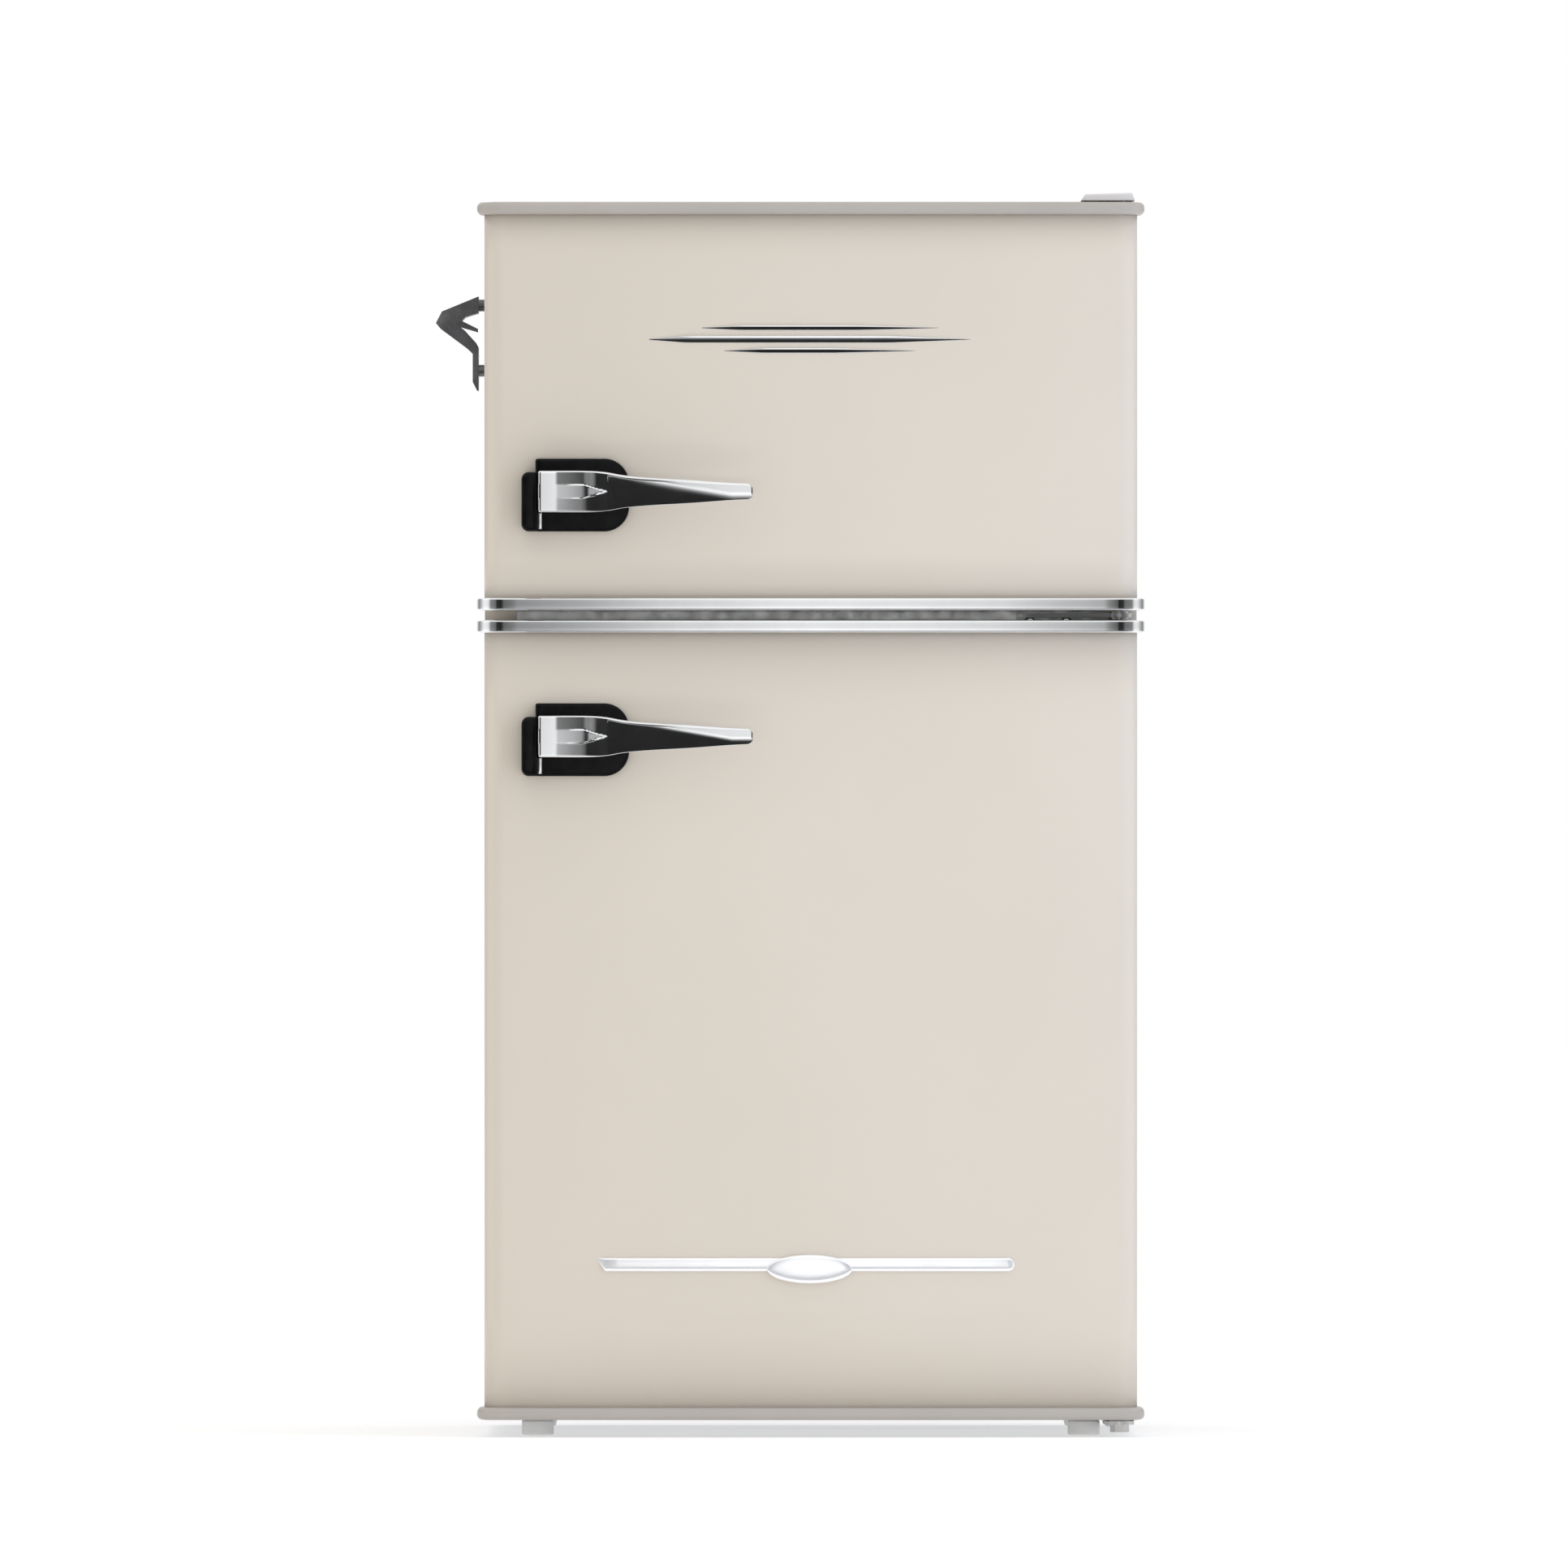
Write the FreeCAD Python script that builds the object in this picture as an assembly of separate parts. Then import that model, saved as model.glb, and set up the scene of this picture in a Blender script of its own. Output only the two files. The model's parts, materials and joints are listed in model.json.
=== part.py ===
"""Two-door compact refrigerator: a top freezer and a fresh-food compartment, 850 mm tall, in a retro style.

Frame: millimetres, +Z up, the doors face -Y and are hinged at +X. The origin is on the floor, midway between
the cabinet's sides and midway between its front and back. Every function below returns one sub-part.
"""
import FreeCAD, Part
import math
import os

V = FreeCAD.Vector
X, Y, Z = V(1, 0, 0), V(0, 1, 0), V(0, 0, 1)

# ---------------------------------------------------------------- driving dimensions
TOTAL_H = 850.0          # floor to the top of the hinge cover
CAB_W = 446.0            # cabinet and door panels
CAB_D = 412.0            # cabinet, without doors and condenser
CAB_BOTTOM = 10.8        # underside of the base pan
CAB_TOP = 844.5
SHEET = 0.8              # steel sheet
LINER = 1.5              # vacuum-formed plastic liner
CAVITY_HALF_W = 185.0
CAVITY_BACK = 161.0
FREEZER_FLOOR, FREEZER_CEILING = 588.0, 800.0
FRIDGE_FLOOR, FRIDGE_CEILING = 58.0, 534.0
HUMP_Y, HUMP_Z = 42.0, 226.0       # the liner's step over the compressor bay
BAY_Y, BAY_Z = 78.0, 190.0         # front wall and roof of the compressor bay
FOAM_BASE = 30.0         # underside of the floor insulation
COLD_SLOT = 8.0          # space behind the liners for the evaporator

GASKET_GAP = 9.0         # between cabinet front and door back
DOOR_EDGE_T = 42.0       # door thickness at its sides
CROWN = 5.0              # how far the door's front bows forward
DOOR_CORNER = 14.0       # rounding of the door's vertical front edges
CAP_LIP = 5.0            # how far the end caps stand proud of the door panel
CAP_T = 8.6              # visible height of an end cap
CAP_ROUND, TRIM_ROUND = 3.6, 1.4   # rounding of a moulded cap's lip, and of a chrome trim's
PLUG_T = 8.0             # part of an end cap that sits inside the door panel
FREEZER_DOOR_Z = (564.6, 843.5)
FRIDGE_DOOR_Z = (11.8, 558.0)

PIN_X, PIN_Y, PIN_R = 211.0, -238.0, 4.0   # hinge axis and pin radius
PIN_PLAY = 0.08
PIN_REACH = 14.0         # how far a hinge pin enters a door
SCREW_R, SCREW_HEAD_R = 1.9, 4.2
HINGE_T = 2.5
TOP_HINGE_T = 2.0

RIB_OUT, RIB_IN, RIB_DEPTH = 170.0, 156.0, 38.0     # the door liner's ribs: outer and inner side, and reach
RACK_PEG_R = 4.5
PEG_Y, PEG_Z = 24.0, 30.0          # a rack's pegs, from the door's back and the rack's bottom
FREEZER_RACK_Z, BOTTLE_RACK_Z, UPPER_RACK_Z = 632.0, 92.0, 372.0

FOOT_X, FOOT_FRONT_Y, FOOT_BACK_Y, FOOT_R = 187.0, -174.0, 184.0, 11.0
STUD_R = 4.0

FREEZER_HANDLE_Z, FRIDGE_HANDLE_Z = 643.3, 476.3
HANDLE_LEFT, HANDLE_PLATE_RIGHT, HANDLE_TIP = -188.0, -124.0, -39.3
HANDLE_HALF_H = 24.9
HANDLE_LIFT = 2.2        # the lever's middle above the escutcheon's
BADGE_PROUD, BAR_PROUD, BOSS_PROUD = 2.2, 2.4, 4.2

OPENER_Y, OPENER_HALF_W = -112.0, 22.0
OPENER_STAND_OFF, OPENER_REACH = 5.0, 34.3      # gap behind its plate, and nose beyond the cabinet's side
OPENER_TOP, OPENER_BOTTOM, OPENER_T = 780.8, 716.1, 4.0

SHELF_Z, SPARE_LEDGE_Z = 414.0, 320.0
SHELF_FRONT = -122.0
CRISPER_COVER_Z = 226.4
DRAWER_HALF_W, DRAWER_FRONT, DRAWER_BACK = 168.0, -110.0, 32.0
DRAWER_BOTTOM, DRAWER_TOP = 60.0, 219.0

CONDENSER_Y = 218.0      # centre plane of the condenser tube
CONDENSER_TUBE_R = 2.5
CONDENSER_TOP, CONDENSER_PITCH, CONDENSER_RUNS = 806.0, 48.0, 13
CONDENSER_HALF_W = 178.0
WIRE_R, WIRE_PITCH = 0.8, 14.0

COMPRESSOR_X, COMPRESSOR_Y = 50.0, 141.0
RELAY_OFFSET = 73.4      # the relay cover's inner face, from the compressor's centre
RAIL_TOP = 13.2          # top of the plate that carries the compressor
SUCTION_X, CAPILLARY_X = -100.0, -130.0
DRIER_X, DRIER_Y = -172.0, 186.0

# ---------------------------------------------------------------- derived dimensions
HALF_W, HALF_D = CAB_W / 2, CAB_D / 2
FRONT, BACK = -HALF_D, HALF_D
DOOR_BACK = FRONT - GASKET_GAP
DOOR_EDGE = DOOR_BACK - DOOR_EDGE_T
FLANGE_IN = 201.0        # inner edge of the cabinet's front flange
INNER_W = HALF_W - SHEET
FOAM_FRONT = FRONT + LINER
SLOT_Y = CAVITY_BACK + LINER
MULLION_RAIL = (549.0, 573.0)
FREEZER_CAVITY_Z = (FREEZER_FLOOR, FREEZER_CEILING)
FRIDGE_CAVITY_Z = (FRIDGE_FLOOR, FRIDGE_CEILING)


# ---------------------------------------------------------------- helpers
def box(x0, x1, y0, y1, z0, z1):
    return Part.makeBox(x1 - x0, y1 - y0, z1 - z0, V(x0, y0, z0))


def rod(radius, start, end):
    start, end = V(*start), V(*end)
    return Part.makeCylinder(radius, (end - start).Length, start, end - start)


def fuse(shapes):
    shapes = list(shapes)
    return shapes[0].multiFuse(shapes[1:]).removeSplitter() if len(shapes) > 1 else shapes[0]


def both_sides(shape):
    return [shape, shape.mirror(V(0, 0, 0), X)]


def hexagon(cx, cy, radius):
    turns = [math.radians(60 * k) for k in range(6)]
    return [(cx + radius * math.cos(turn), cy + radius * math.sin(turn)) for turn in turns]


def edges_where(shape, test):
    """Edges for which test(lowest corner, highest corner) holds."""
    found = []
    for e in shape.Edges:
        b = e.BoundBox
        if test(V(b.XMin, b.YMin, b.ZMin), V(b.XMax, b.YMax, b.ZMax)):
            found.append(e)
    return found


def vertical(lo, hi):
    return hi.x - lo.x < 0.01 and hi.y - lo.y < 0.01 and hi.z - lo.z > 1.0


def prism(points, plane, start, end):
    """A polygon extruded from start to end along the axis that plane's two letters leave out."""
    place = {
        "xy": lambda a, b: V(a, b, start),
        "xz": lambda a, b: V(a, start, b),
        "yz": lambda a, b: V(start, a, b),
    }[plane]
    along = {"xy": Z, "xz": Y, "yz": X}[plane]
    corners = [place(a, b) for a, b in points]
    wire = Part.makePolygon(corners + corners[:1])
    return Part.Face(wire).extrude(along * (end - start))


def tube(points, radius, bend):
    """A round bar along straight runs joined by arcs of radius bend."""
    points = [V(*p) for p in points]
    edges, last = [], points[0]
    for before, corner, after in zip(points, points[1:], points[2:]):
        into, out = (corner - before).normalize(), (after - corner).normalize()
        half_turn = into.getAngle(out) / 2
        reach = bend * math.tan(half_turn)
        begin, end = corner - into * reach, corner + out * reach
        middle_direction = (out - into).normalize()
        centre = corner + middle_direction * (bend / math.cos(half_turn))
        middle = centre - middle_direction * bend
        if (begin - last).Length > 1e-6:
            edges.append(Part.makeLine(last, begin))
        edges.append(Part.Arc(begin, middle, end).toShape())
        last = end
    edges.append(Part.makeLine(last, points[-1]))
    profile = Part.Wire(Part.makeCircle(radius, points[0], points[1] - points[0]))
    return Part.Wire(edges).makePipeShell([profile], True, False)


def screw(head, direction, shank, height=2.2):
    """A pan-head screw: the underside of its head is at head, and its shank runs along direction."""
    head, direction = V(*head), V(*direction)
    top = Part.makeCylinder(SCREW_HEAD_R, height, head - direction * height, direction)
    rim = [e for e in top.Edges if e.Length > 20 and (e.CenterOfMass - head).Length > 1.0]
    top = top.makeFillet(1.2, rim)
    recess = Part.makeCylinder(1.6, 1.0, head - direction * (height + 0.01), direction)
    return fuse([top.cut(recess), Part.makeCylinder(SCREW_R, shank, head, direction)])


def screw_holes(places):
    """Cylinders to cut where the screws at these places pass."""
    return fuse([Part.makeCylinder(SCREW_R + 0.1, shank + 1, V(*head) - V(*direction) * 0.5, V(*direction))
                 for head, direction, shank, height in places])


def door_block(grow, z0, z1, back=DOOR_BACK):
    """The bowed door outline, grown outwards at its sides and front, from z0 to z1."""
    side, front = HALF_W + grow, DOOR_EDGE - grow
    a, b, c, d = V(-side, back, z0), V(-side, front, z0), V(side, front, z0), V(side, back, z0)
    crest = V(0, front - CROWN, z0)
    wire = Part.Wire([
        Part.makeLine(a, b),
        Part.Arc(b, crest, c).toShape(),
        Part.makeLine(c, d),
        Part.makeLine(d, a),
    ])
    block = Part.Face(wire).extrude(Z * (z1 - z0))
    rounded = edges_where(block, lambda lo, hi: vertical(lo, hi) and lo.y < front + 0.01)
    return block.makeFillet(DOOR_CORNER + grow, rounded)


def cavity_solid(outline):
    """The hollow inside a liner, from a side-view outline (y, z), with every edge but the mouth's rounded."""
    hollow = prism(outline, "yz", -CAVITY_HALF_W, CAVITY_HALF_W)
    inner = edges_where(hollow, lambda lo, hi: hi.y > FRONT + 0.01)
    return hollow.makeFillet(10.0, inner)


FREEZER_OUTLINE = [
    (FRONT, FREEZER_FLOOR), (CAVITY_BACK, FREEZER_FLOOR),
    (CAVITY_BACK, FREEZER_CEILING), (FRONT, FREEZER_CEILING),
]
FRIDGE_OUTLINE = [
    (FRONT, FRIDGE_FLOOR), (HUMP_Y, FRIDGE_FLOOR), (HUMP_Y, HUMP_Z),
    (CAVITY_BACK, HUMP_Z), (CAVITY_BACK, FRIDGE_CEILING), (FRONT, FRIDGE_CEILING),
]


# ---------------------------------------------------------------- screws that fasten to the cabinet
HINGE_SCREW_Z = 556.2
OPENER_SCREW_Z, OPENER_SCREW_DY, OPENER_SINK = 730.0, 11.0, 2.3
TOP_SCREWS = [((x, y, CAB_TOP + TOP_HINGE_T), (0, 0, -1), 9, 1.6)
              for x, y in ((196.0, -190.0), (210.0, -176.0), (196.0, -162.0))]
MIDDLE_SCREWS = [((x, FRONT - HINGE_T, HINGE_SCREW_Z), (0, 1, 0), 12, 2.2) for x in (150.0, 175.0)]
BOTTOM_SCREWS = [((x, y, CAB_BOTTOM - HINGE_T), (0, 0, 1), 7, 2.2)
                 for x, y in ((206.0, -190.0), (214.0, -172.0), (206.0, -156.0))]
OPENER_SEAT_X = -HALF_W - OPENER_STAND_OFF - OPENER_T + OPENER_SINK
OPENER_SCREWS = [((OPENER_SEAT_X, OPENER_Y + s * OPENER_SCREW_DY, OPENER_SCREW_Z), (1, 0, 0), 15, 2.2)
                 for s in (-1, 1)]
CABINET_SCREWS = TOP_SCREWS + MIDDLE_SCREWS + BOTTOM_SCREWS + OPENER_SCREWS


def cabinet_screws():
    """Screws of the three hinges and of the bottle opener."""
    return Part.makeCompound([screw(*place) for place in CABINET_SCREWS])


# ---------------------------------------------------------------- cabinet
def cabinet_shell():
    """Painted sheet over the sides and top, with flanges turned in at the front and back."""
    def hood(grow):
        side = INNER_W + grow
        block = box(-side, side, FRONT, BACK, CAB_BOTTOM - 1 + grow, CAB_TOP - SHEET + grow)
        ridge = edges_where(block, lambda lo, hi: hi.x - lo.x < 0.01 and lo.z > CAB_TOP - 2)
        return block.makeFillet(5.2 + grow, ridge)
    outer = hood(SHEET).common(box(-HALF_W, HALF_W, FRONT, BACK, CAB_BOTTOM, CAB_TOP))
    shell = outer.cut(hood(0.0))
    front_flanges = [
        *both_sides(box(FLANGE_IN, HALF_W, FRONT, FRONT + SHEET, CAB_BOTTOM, CAB_TOP)),
        box(-HALF_W, HALF_W, FRONT, FRONT + SHEET, CAB_TOP - 22, CAB_TOP),
    ]
    back_flanges = [
        *both_sides(box(HALF_W - 10, HALF_W, BACK - SHEET, BACK, CAB_BOTTOM, CAB_TOP)),
        box(-HALF_W, HALF_W, BACK - SHEET, BACK, CAB_TOP - 10, CAB_TOP),
    ]
    flanges = [f.common(outer) for f in front_flanges + back_flanges]
    return fuse([shell] + flanges).cut(screw_holes(TOP_SCREWS + OPENER_SCREWS))


def back_panel():
    corner = 5.0
    low, high, side = BAY_Z + SHEET, CAB_TOP - SHEET, INNER_W
    outline = [(-side, low), (side, low), (side, high - corner), (side - corner, high),
               (corner - side, high), (-side, high - corner)]
    return prism(outline, "xz", BACK - 2 * SHEET, BACK - SHEET)


def base_pan():
    """Bottom sheet, its front channel with the foot nuts, and the step over the compressor bay."""
    nut_h = 8.0
    bottom = box(-INNER_W, INNER_W, FRONT + SHEET, BAY_Y, CAB_BOTTOM, CAB_BOTTOM + 1)
    lip = box(-FLANGE_IN, FLANGE_IN, FRONT, FRONT + SHEET, CAB_BOTTOM, 40.0)
    channel_top = box(-INNER_W, INNER_W, FRONT + SHEET, -148, FOAM_BASE - 1.8, FOAM_BASE - SHEET)
    channel_back = box(-INNER_W, INNER_W, -148 - SHEET, -148, CAB_BOTTOM, FOAM_BASE - SHEET)
    bay_front = box(-INNER_W, INNER_W, BAY_Y - SHEET, BAY_Y, CAB_BOTTOM, BAY_Z + SHEET)
    bay_roof = box(-INNER_W, INNER_W, BAY_Y - SHEET, BACK - 2 * SHEET, BAY_Z, BAY_Z + SHEET)
    nuts = [Part.makeCylinder(7.5, nut_h, V(s * FOOT_X, FOOT_FRONT_Y, CAB_BOTTOM)) for s in (-1, 1)]
    pan = fuse([bottom, lip, channel_top, channel_back, bay_front, bay_roof] + nuts)
    for x in (-FOOT_X, FOOT_X):
        pan = pan.cut(rod(STUD_R + 0.08, (x, FOOT_FRONT_Y, 0), (x, FOOT_FRONT_Y, FOAM_BASE - 4)))
    slot_middle = SLOT_Y + COLD_SLOT / 2
    for x, radius in ((SUCTION_X, 4.5), (CAPILLARY_X, 2.5), (COMPRESSOR_X, 4.5)):
        pan = pan.cut(rod(radius, (x, slot_middle, BAY_Z - 5), (x, slot_middle, BAY_Z + 5)))
    return pan.cut(screw_holes(BOTTOM_SCREWS))


def cabinet_foam():
    """Rigid foam between shell and liners, as the slabs that the walls are made of."""
    foam_back, inner = BACK - 2 * SHEET, CAVITY_HALF_W + LINER
    top = CAB_TOP - SHEET
    corner = 5.4

    def side(y1, z0, z1, cut):
        outline = [(inner, z0), (INNER_W, z0), (INNER_W, z1 - cut), (INNER_W - cut, z1), (inner, z1)]
        if not cut:
            outline.pop(3)
        return prism(outline, "xz", FOAM_FRONT, y1)

    wide = {
        "top": (FOAM_FRONT, foam_back, FREEZER_CEILING + LINER, top),
        "back": (SLOT_Y + COLD_SLOT, foam_back, BAY_Z + SHEET, FREEZER_CEILING + LINER),
        "mullion": (FOAM_FRONT, SLOT_Y, FRIDGE_CEILING + LINER, FREEZER_FLOOR - LINER),
        "floor": (FOAM_FRONT, BAY_Y - SHEET, FOAM_BASE, FRIDGE_FLOOR - LINER),
        "step": (HUMP_Y + LINER, BAY_Y - SHEET, FRIDGE_FLOOR - LINER, BAY_Z + SHEET),
        "bay_roof": (HUMP_Y + LINER, SLOT_Y, BAY_Z + SHEET, HUMP_Z - LINER),
    }
    slabs = [box(-inner, inner, *limits) for limits in wide.values()]
    slabs += both_sides(side(foam_back, BAY_Z + SHEET, top, corner))
    slabs += both_sides(side(BAY_Y - SHEET, FOAM_BASE, BAY_Z + SHEET, 0))
    lined = fridge_liner().fuse(cavity_solid(FRIDGE_OUTLINE))
    holes = screw_holes(CABINET_SCREWS)
    return Part.makeCompound([slab.cut(lined).cut(holes) for slab in slabs])


def liner(outline, flange):
    """A thin shell around a cavity, open at the front, with a flat flange (z0, z1) around its mouth."""
    hollow = cavity_solid(outline)
    mouth = [f for f in hollow.Faces if f.BoundBox.YMax < FRONT + 0.01]
    shell = hollow.makeThickness(mouth, LINER, 1e-3)
    z0, z1 = flange
    rim = box(-FLANGE_IN, FLANGE_IN, FRONT, FRONT + LINER, z0, z1)
    rim = rim.cut(hollow)
    shell = shell.common(box(-HALF_W, HALF_W, FRONT, BACK, 0, TOTAL_H))
    return fuse([shell, rim])


def freezer_liner():
    return liner(FREEZER_OUTLINE, (MULLION_RAIL[1], CAB_TOP - 22))


def fridge_liner():
    shell = liner(FRIDGE_OUTLINE, (40.0, MULLION_RAIL[0]))
    ledges = []
    for top, back in ((SHELF_Z - 0.1, 140), (CRISPER_COVER_Z - 0.1, 38), (SPARE_LEDGE_Z, 140)):
        ledges += both_sides(box(172, CAVITY_HALF_W + 0.5, -150, back, top - 4, top))
    runners = both_sides(box(110, 124, -150, 34, FRIDGE_FLOOR - 0.5, DRAWER_BOTTOM - 0.3))
    return fuse([shell] + ledges + runners)


def centre_rail():
    """Bright strip across the cabinet's front between the two compartments."""
    return box(-FLANGE_IN, FLANGE_IN, FRONT, FRONT + SHEET, *MULLION_RAIL).cut(screw_holes(MIDDLE_SCREWS))


def evaporator():
    """Roll-bonded plates behind both liners, with their raised channel and the pipe that joins them."""
    plate_y = SLOT_Y + 0.8
    pipe_y = plate_y + 3.4
    plates = [
        box(-160, 160, plate_y, plate_y + 1.2, 602, 788),
        box(-150, 150, plate_y, plate_y + 1.2, 290, 515),
    ]
    reach = 130
    channel = [(reach, pipe_y, 270)]
    side = 1
    for z in (320, 360, 400, 440, 480, 620, 655, 690, 725, 760):
        channel.append((side * reach, pipe_y, z))
        channel.append((-side * reach, pipe_y, z))
        side = -side
    return fuse(plates + [tube(channel, 2.4, 12)])


# ---------------------------------------------------------------- refrigeration circuit
def condenser_heights():
    return [CONDENSER_TOP - i * CONDENSER_PITCH for i in range(CONDENSER_RUNS)]


def condenser_coil():
    """One tube: a riser at the right, then level runs joined by round bends, down to the outlet."""
    riser_x = CONDENSER_HALF_W + 22
    points = [(riser_x, CONDENSER_Y, 205)]
    side = 1
    for n, z in enumerate(condenser_heights()):
        points.append(((riser_x if n == 0 else side * CONDENSER_HALF_W), CONDENSER_Y, z))
        points.append((-side * CONDENSER_HALF_W, CONDENSER_Y, z))
        side = -side
    points.append((side * CONDENSER_HALF_W, CONDENSER_Y, 205))
    return tube(points, CONDENSER_TUBE_R, 20)


def condenser_wires():
    """Upright wires on both faces of the coil."""
    low, high = condenser_heights()[-1] - 10, CONDENSER_TOP + 10
    stand_off = CONDENSER_TUBE_R + WIRE_R
    count = int((2 * CONDENSER_HALF_W - 40) / WIRE_PITCH)
    wires = []
    for n in range(count + 1):
        x = (n - count / 2) * WIRE_PITCH
        for y in (CONDENSER_Y - stand_off, CONDENSER_Y + stand_off):
            wires.append(rod(WIRE_R, (x, y, low), (x, y, high)))
    return Part.makeCompound(wires)


CLIP_X, CLIP_ROWS = 119.0, (0, 4, 8, 12)


def condenser_clips():
    """Moulded stand-offs that hold the condenser's level runs to the cabinet's back."""
    clips = []
    heights = condenser_heights()
    for row in CLIP_ROWS:
        z = heights[row]
        for x in (-CLIP_X, CLIP_X):
            block = box(x - 4.5, x + 4.5, BACK - SHEET, CONDENSER_Y + 6, z - 8, z + 8)
            block = block.cut(rod(CONDENSER_TUBE_R + 0.05, (x - 9, CONDENSER_Y, z), (x + 9, CONDENSER_Y, z)))
            clips.append(block)
    return Part.makeCompound(clips)


def compressor():
    """Hermetic can: two oval cups welded at a flange, on a bent foot plate, with its pipe stubs."""
    low, seam, high = 27.0, 92.0, 156.0
    can = Part.makeCylinder(54, high - low, V(0, 0, low))
    ends = [e for e in can.Edges if abs(e.BoundBox.ZMax - e.BoundBox.ZMin) < 0.01]
    can = can.makeFillet(26, ends)
    flange = Part.makeCylinder(57, 3.0, V(0, 0, seam))
    body = fuse([can, flange])
    stretch = FreeCAD.Matrix()
    stretch.scale(1.28, 1.0, 1.0)
    body = body.transformGeometry(stretch)
    body.translate(V(COMPRESSOR_X, COMPRESSOR_Y, 0))
    foot = box(COMPRESSOR_X - 88, COMPRESSOR_X + 88, COMPRESSOR_Y - 42, COMPRESSOR_Y + 42, low, low + 3)
    foot = foot.makeFillet(10, edges_where(foot, lambda lo, hi: hi.z - lo.z > 1))
    stubs = [
        rod(4.0, (COMPRESSOR_X - 50, COMPRESSOR_Y + 20, 112), (COMPRESSOR_X - 78, COMPRESSOR_Y + 20, 112)),
        rod(3.4, (COMPRESSOR_X + 50, COMPRESSOR_Y + 20, 112), (COMPRESSOR_X + 80, COMPRESSOR_Y + 20, 112)),
        rod(3.0, (COMPRESSOR_X + 50, COMPRESSOR_Y - 22, 70), (COMPRESSOR_X + 84, COMPRESSOR_Y - 22, 70)),
    ]
    whole = fuse([body, foot] + stubs)
    for x, y in mount_points():
        whole = whole.cut(rod(6.0, (x, y, 0), (x, y, 40)))
    return whole


def mount_points():
    return [(COMPRESSOR_X + sx * 76, COMPRESSOR_Y + sy * 32) for sx in (-1, 1) for sy in (-1, 1)]


def compressor_rail():
    """Plate across the bottom of the bay, turned up at both ends."""
    plate = box(-INNER_W, INNER_W, 92, BACK - SHEET, CAB_BOTTOM, RAIL_TOP)
    ends = both_sides(box(INNER_W - 2.4, INNER_W, 92, BACK - SHEET, CAB_BOTTOM, 34))
    rail = fuse([plate] + ends)
    for x, y in mount_points():
        rail = rail.cut(rod(3.2, (x, y, 0), (x, y, 20)))
    return rail


def compressor_grommets():
    """Rubber bushes: a collar under the foot plate, a neck through it and a lip above."""
    bushes = []
    for x, y in mount_points():
        collar = Part.makeCylinder(10, 26.9 - RAIL_TOP, V(x, y, RAIL_TOP))
        neck = Part.makeCylinder(5.9, 3.4, V(x, y, 26.8))
        lip = Part.makeCylinder(8.5, 4.0, V(x, y, 30.1))
        bushes.append(fuse([collar, neck, lip]).cut(rod(3.2, (x, y, 0), (x, y, 60))))
    return Part.makeCompound(bushes)


def compressor_bolts():
    bolts = []
    for x, y in mount_points():
        shank = Part.makeCylinder(3.0, 30, V(x, y, 8.4))
        head = prism(hexagon(x, y, 5.5), "xy", 6.8, 10.7)
        washer = Part.makeCylinder(8.0, 1.2, V(x, y, 34.2))
        nut = prism(hexagon(x, y, 5.5), "xy", 35.4, 39.4)
        bolts.append(fuse([shank, head, washer, nut]))
    return Part.makeCompound(bolts)


def relay_cover():
    """Starter and overload cover on the compressor's side."""
    x1 = COMPRESSOR_X - RELAY_OFFSET
    cover = box(x1 - 34, x1, COMPRESSOR_Y - 30, COMPRESSOR_Y + 8, 58, 106)
    cover = cover.makeFillet(5, edges_where(cover, lambda lo, hi: hi.x < x1 - 0.01))
    return cover


def cord_gland():
    """Grommet through which the mains lead enters the relay cover."""
    x, y, z = COMPRESSOR_X - RELAY_OFFSET - 17, COMPRESSOR_Y + 8, 70
    collar = rod(6.5, (x, y, z), (x, y + 3, z))
    neck = rod(5.0, (x, y + 2.9, z), (x, y + 12, z))
    return fuse([collar, neck]).cut(rod(3.4, (x, y - 1, z), (x, y + 20, z)))


def suction_line():
    """Returns cold gas from the evaporator to the compressor's left stub."""
    slot_middle = SLOT_Y + COLD_SLOT / 2
    stub_y, stub_z = COMPRESSOR_Y + 20, 112
    route = [
        (SUCTION_X, slot_middle, 285), (SUCTION_X, slot_middle, 160),
        (SUCTION_X + 10, stub_y, stub_z), (COMPRESSOR_X - 78.2, stub_y, stub_z),
    ]
    return tube(route, 3.4, 12)


def discharge_line():
    """Takes hot gas from the compressor's right stub to the foot of the condenser's riser."""
    riser_x = CONDENSER_HALF_W + 22
    stub_y, stub_z = COMPRESSOR_Y + 20, 112
    route = [
        (COMPRESSOR_X + 80.2, stub_y, stub_z), (COMPRESSOR_X + 115, stub_y, stub_z),
        (COMPRESSOR_X + 115, CONDENSER_Y, 140), (riser_x, CONDENSER_Y, 165), (riser_x, CONDENSER_Y, 204.8),
    ]
    return tube(route, 2.5, 12)


def filter_drier():
    """Copper drier between the condenser's outlet and the capillary tube."""
    body = rod(8.5, (DRIER_X, DRIER_Y, 62), (DRIER_X, DRIER_Y, 142))
    shoulders = [e for e in body.Edges if abs(e.BoundBox.ZMax - e.BoundBox.ZMin) < 0.01]
    body = body.makeFillet(5, shoulders)
    outlet_x = -CONDENSER_HALF_W if CONDENSER_RUNS % 2 else CONDENSER_HALF_W
    inlet = tube([(outlet_x, CONDENSER_Y, 204.8), (outlet_x, CONDENSER_Y, 172),
                  (DRIER_X, DRIER_Y, 160), (DRIER_X, DRIER_Y, 136)], 2.5, 9)
    slot_middle = SLOT_Y + COLD_SLOT / 2
    capillary = tube([(DRIER_X, DRIER_Y, 68), (DRIER_X, DRIER_Y, 44), (CAPILLARY_X, DRIER_Y - 12, 44),
                      (CAPILLARY_X, slot_middle, 80), (CAPILLARY_X, slot_middle, 285)], 1.3, 9)
    return fuse([body, inlet, capillary])


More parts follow.
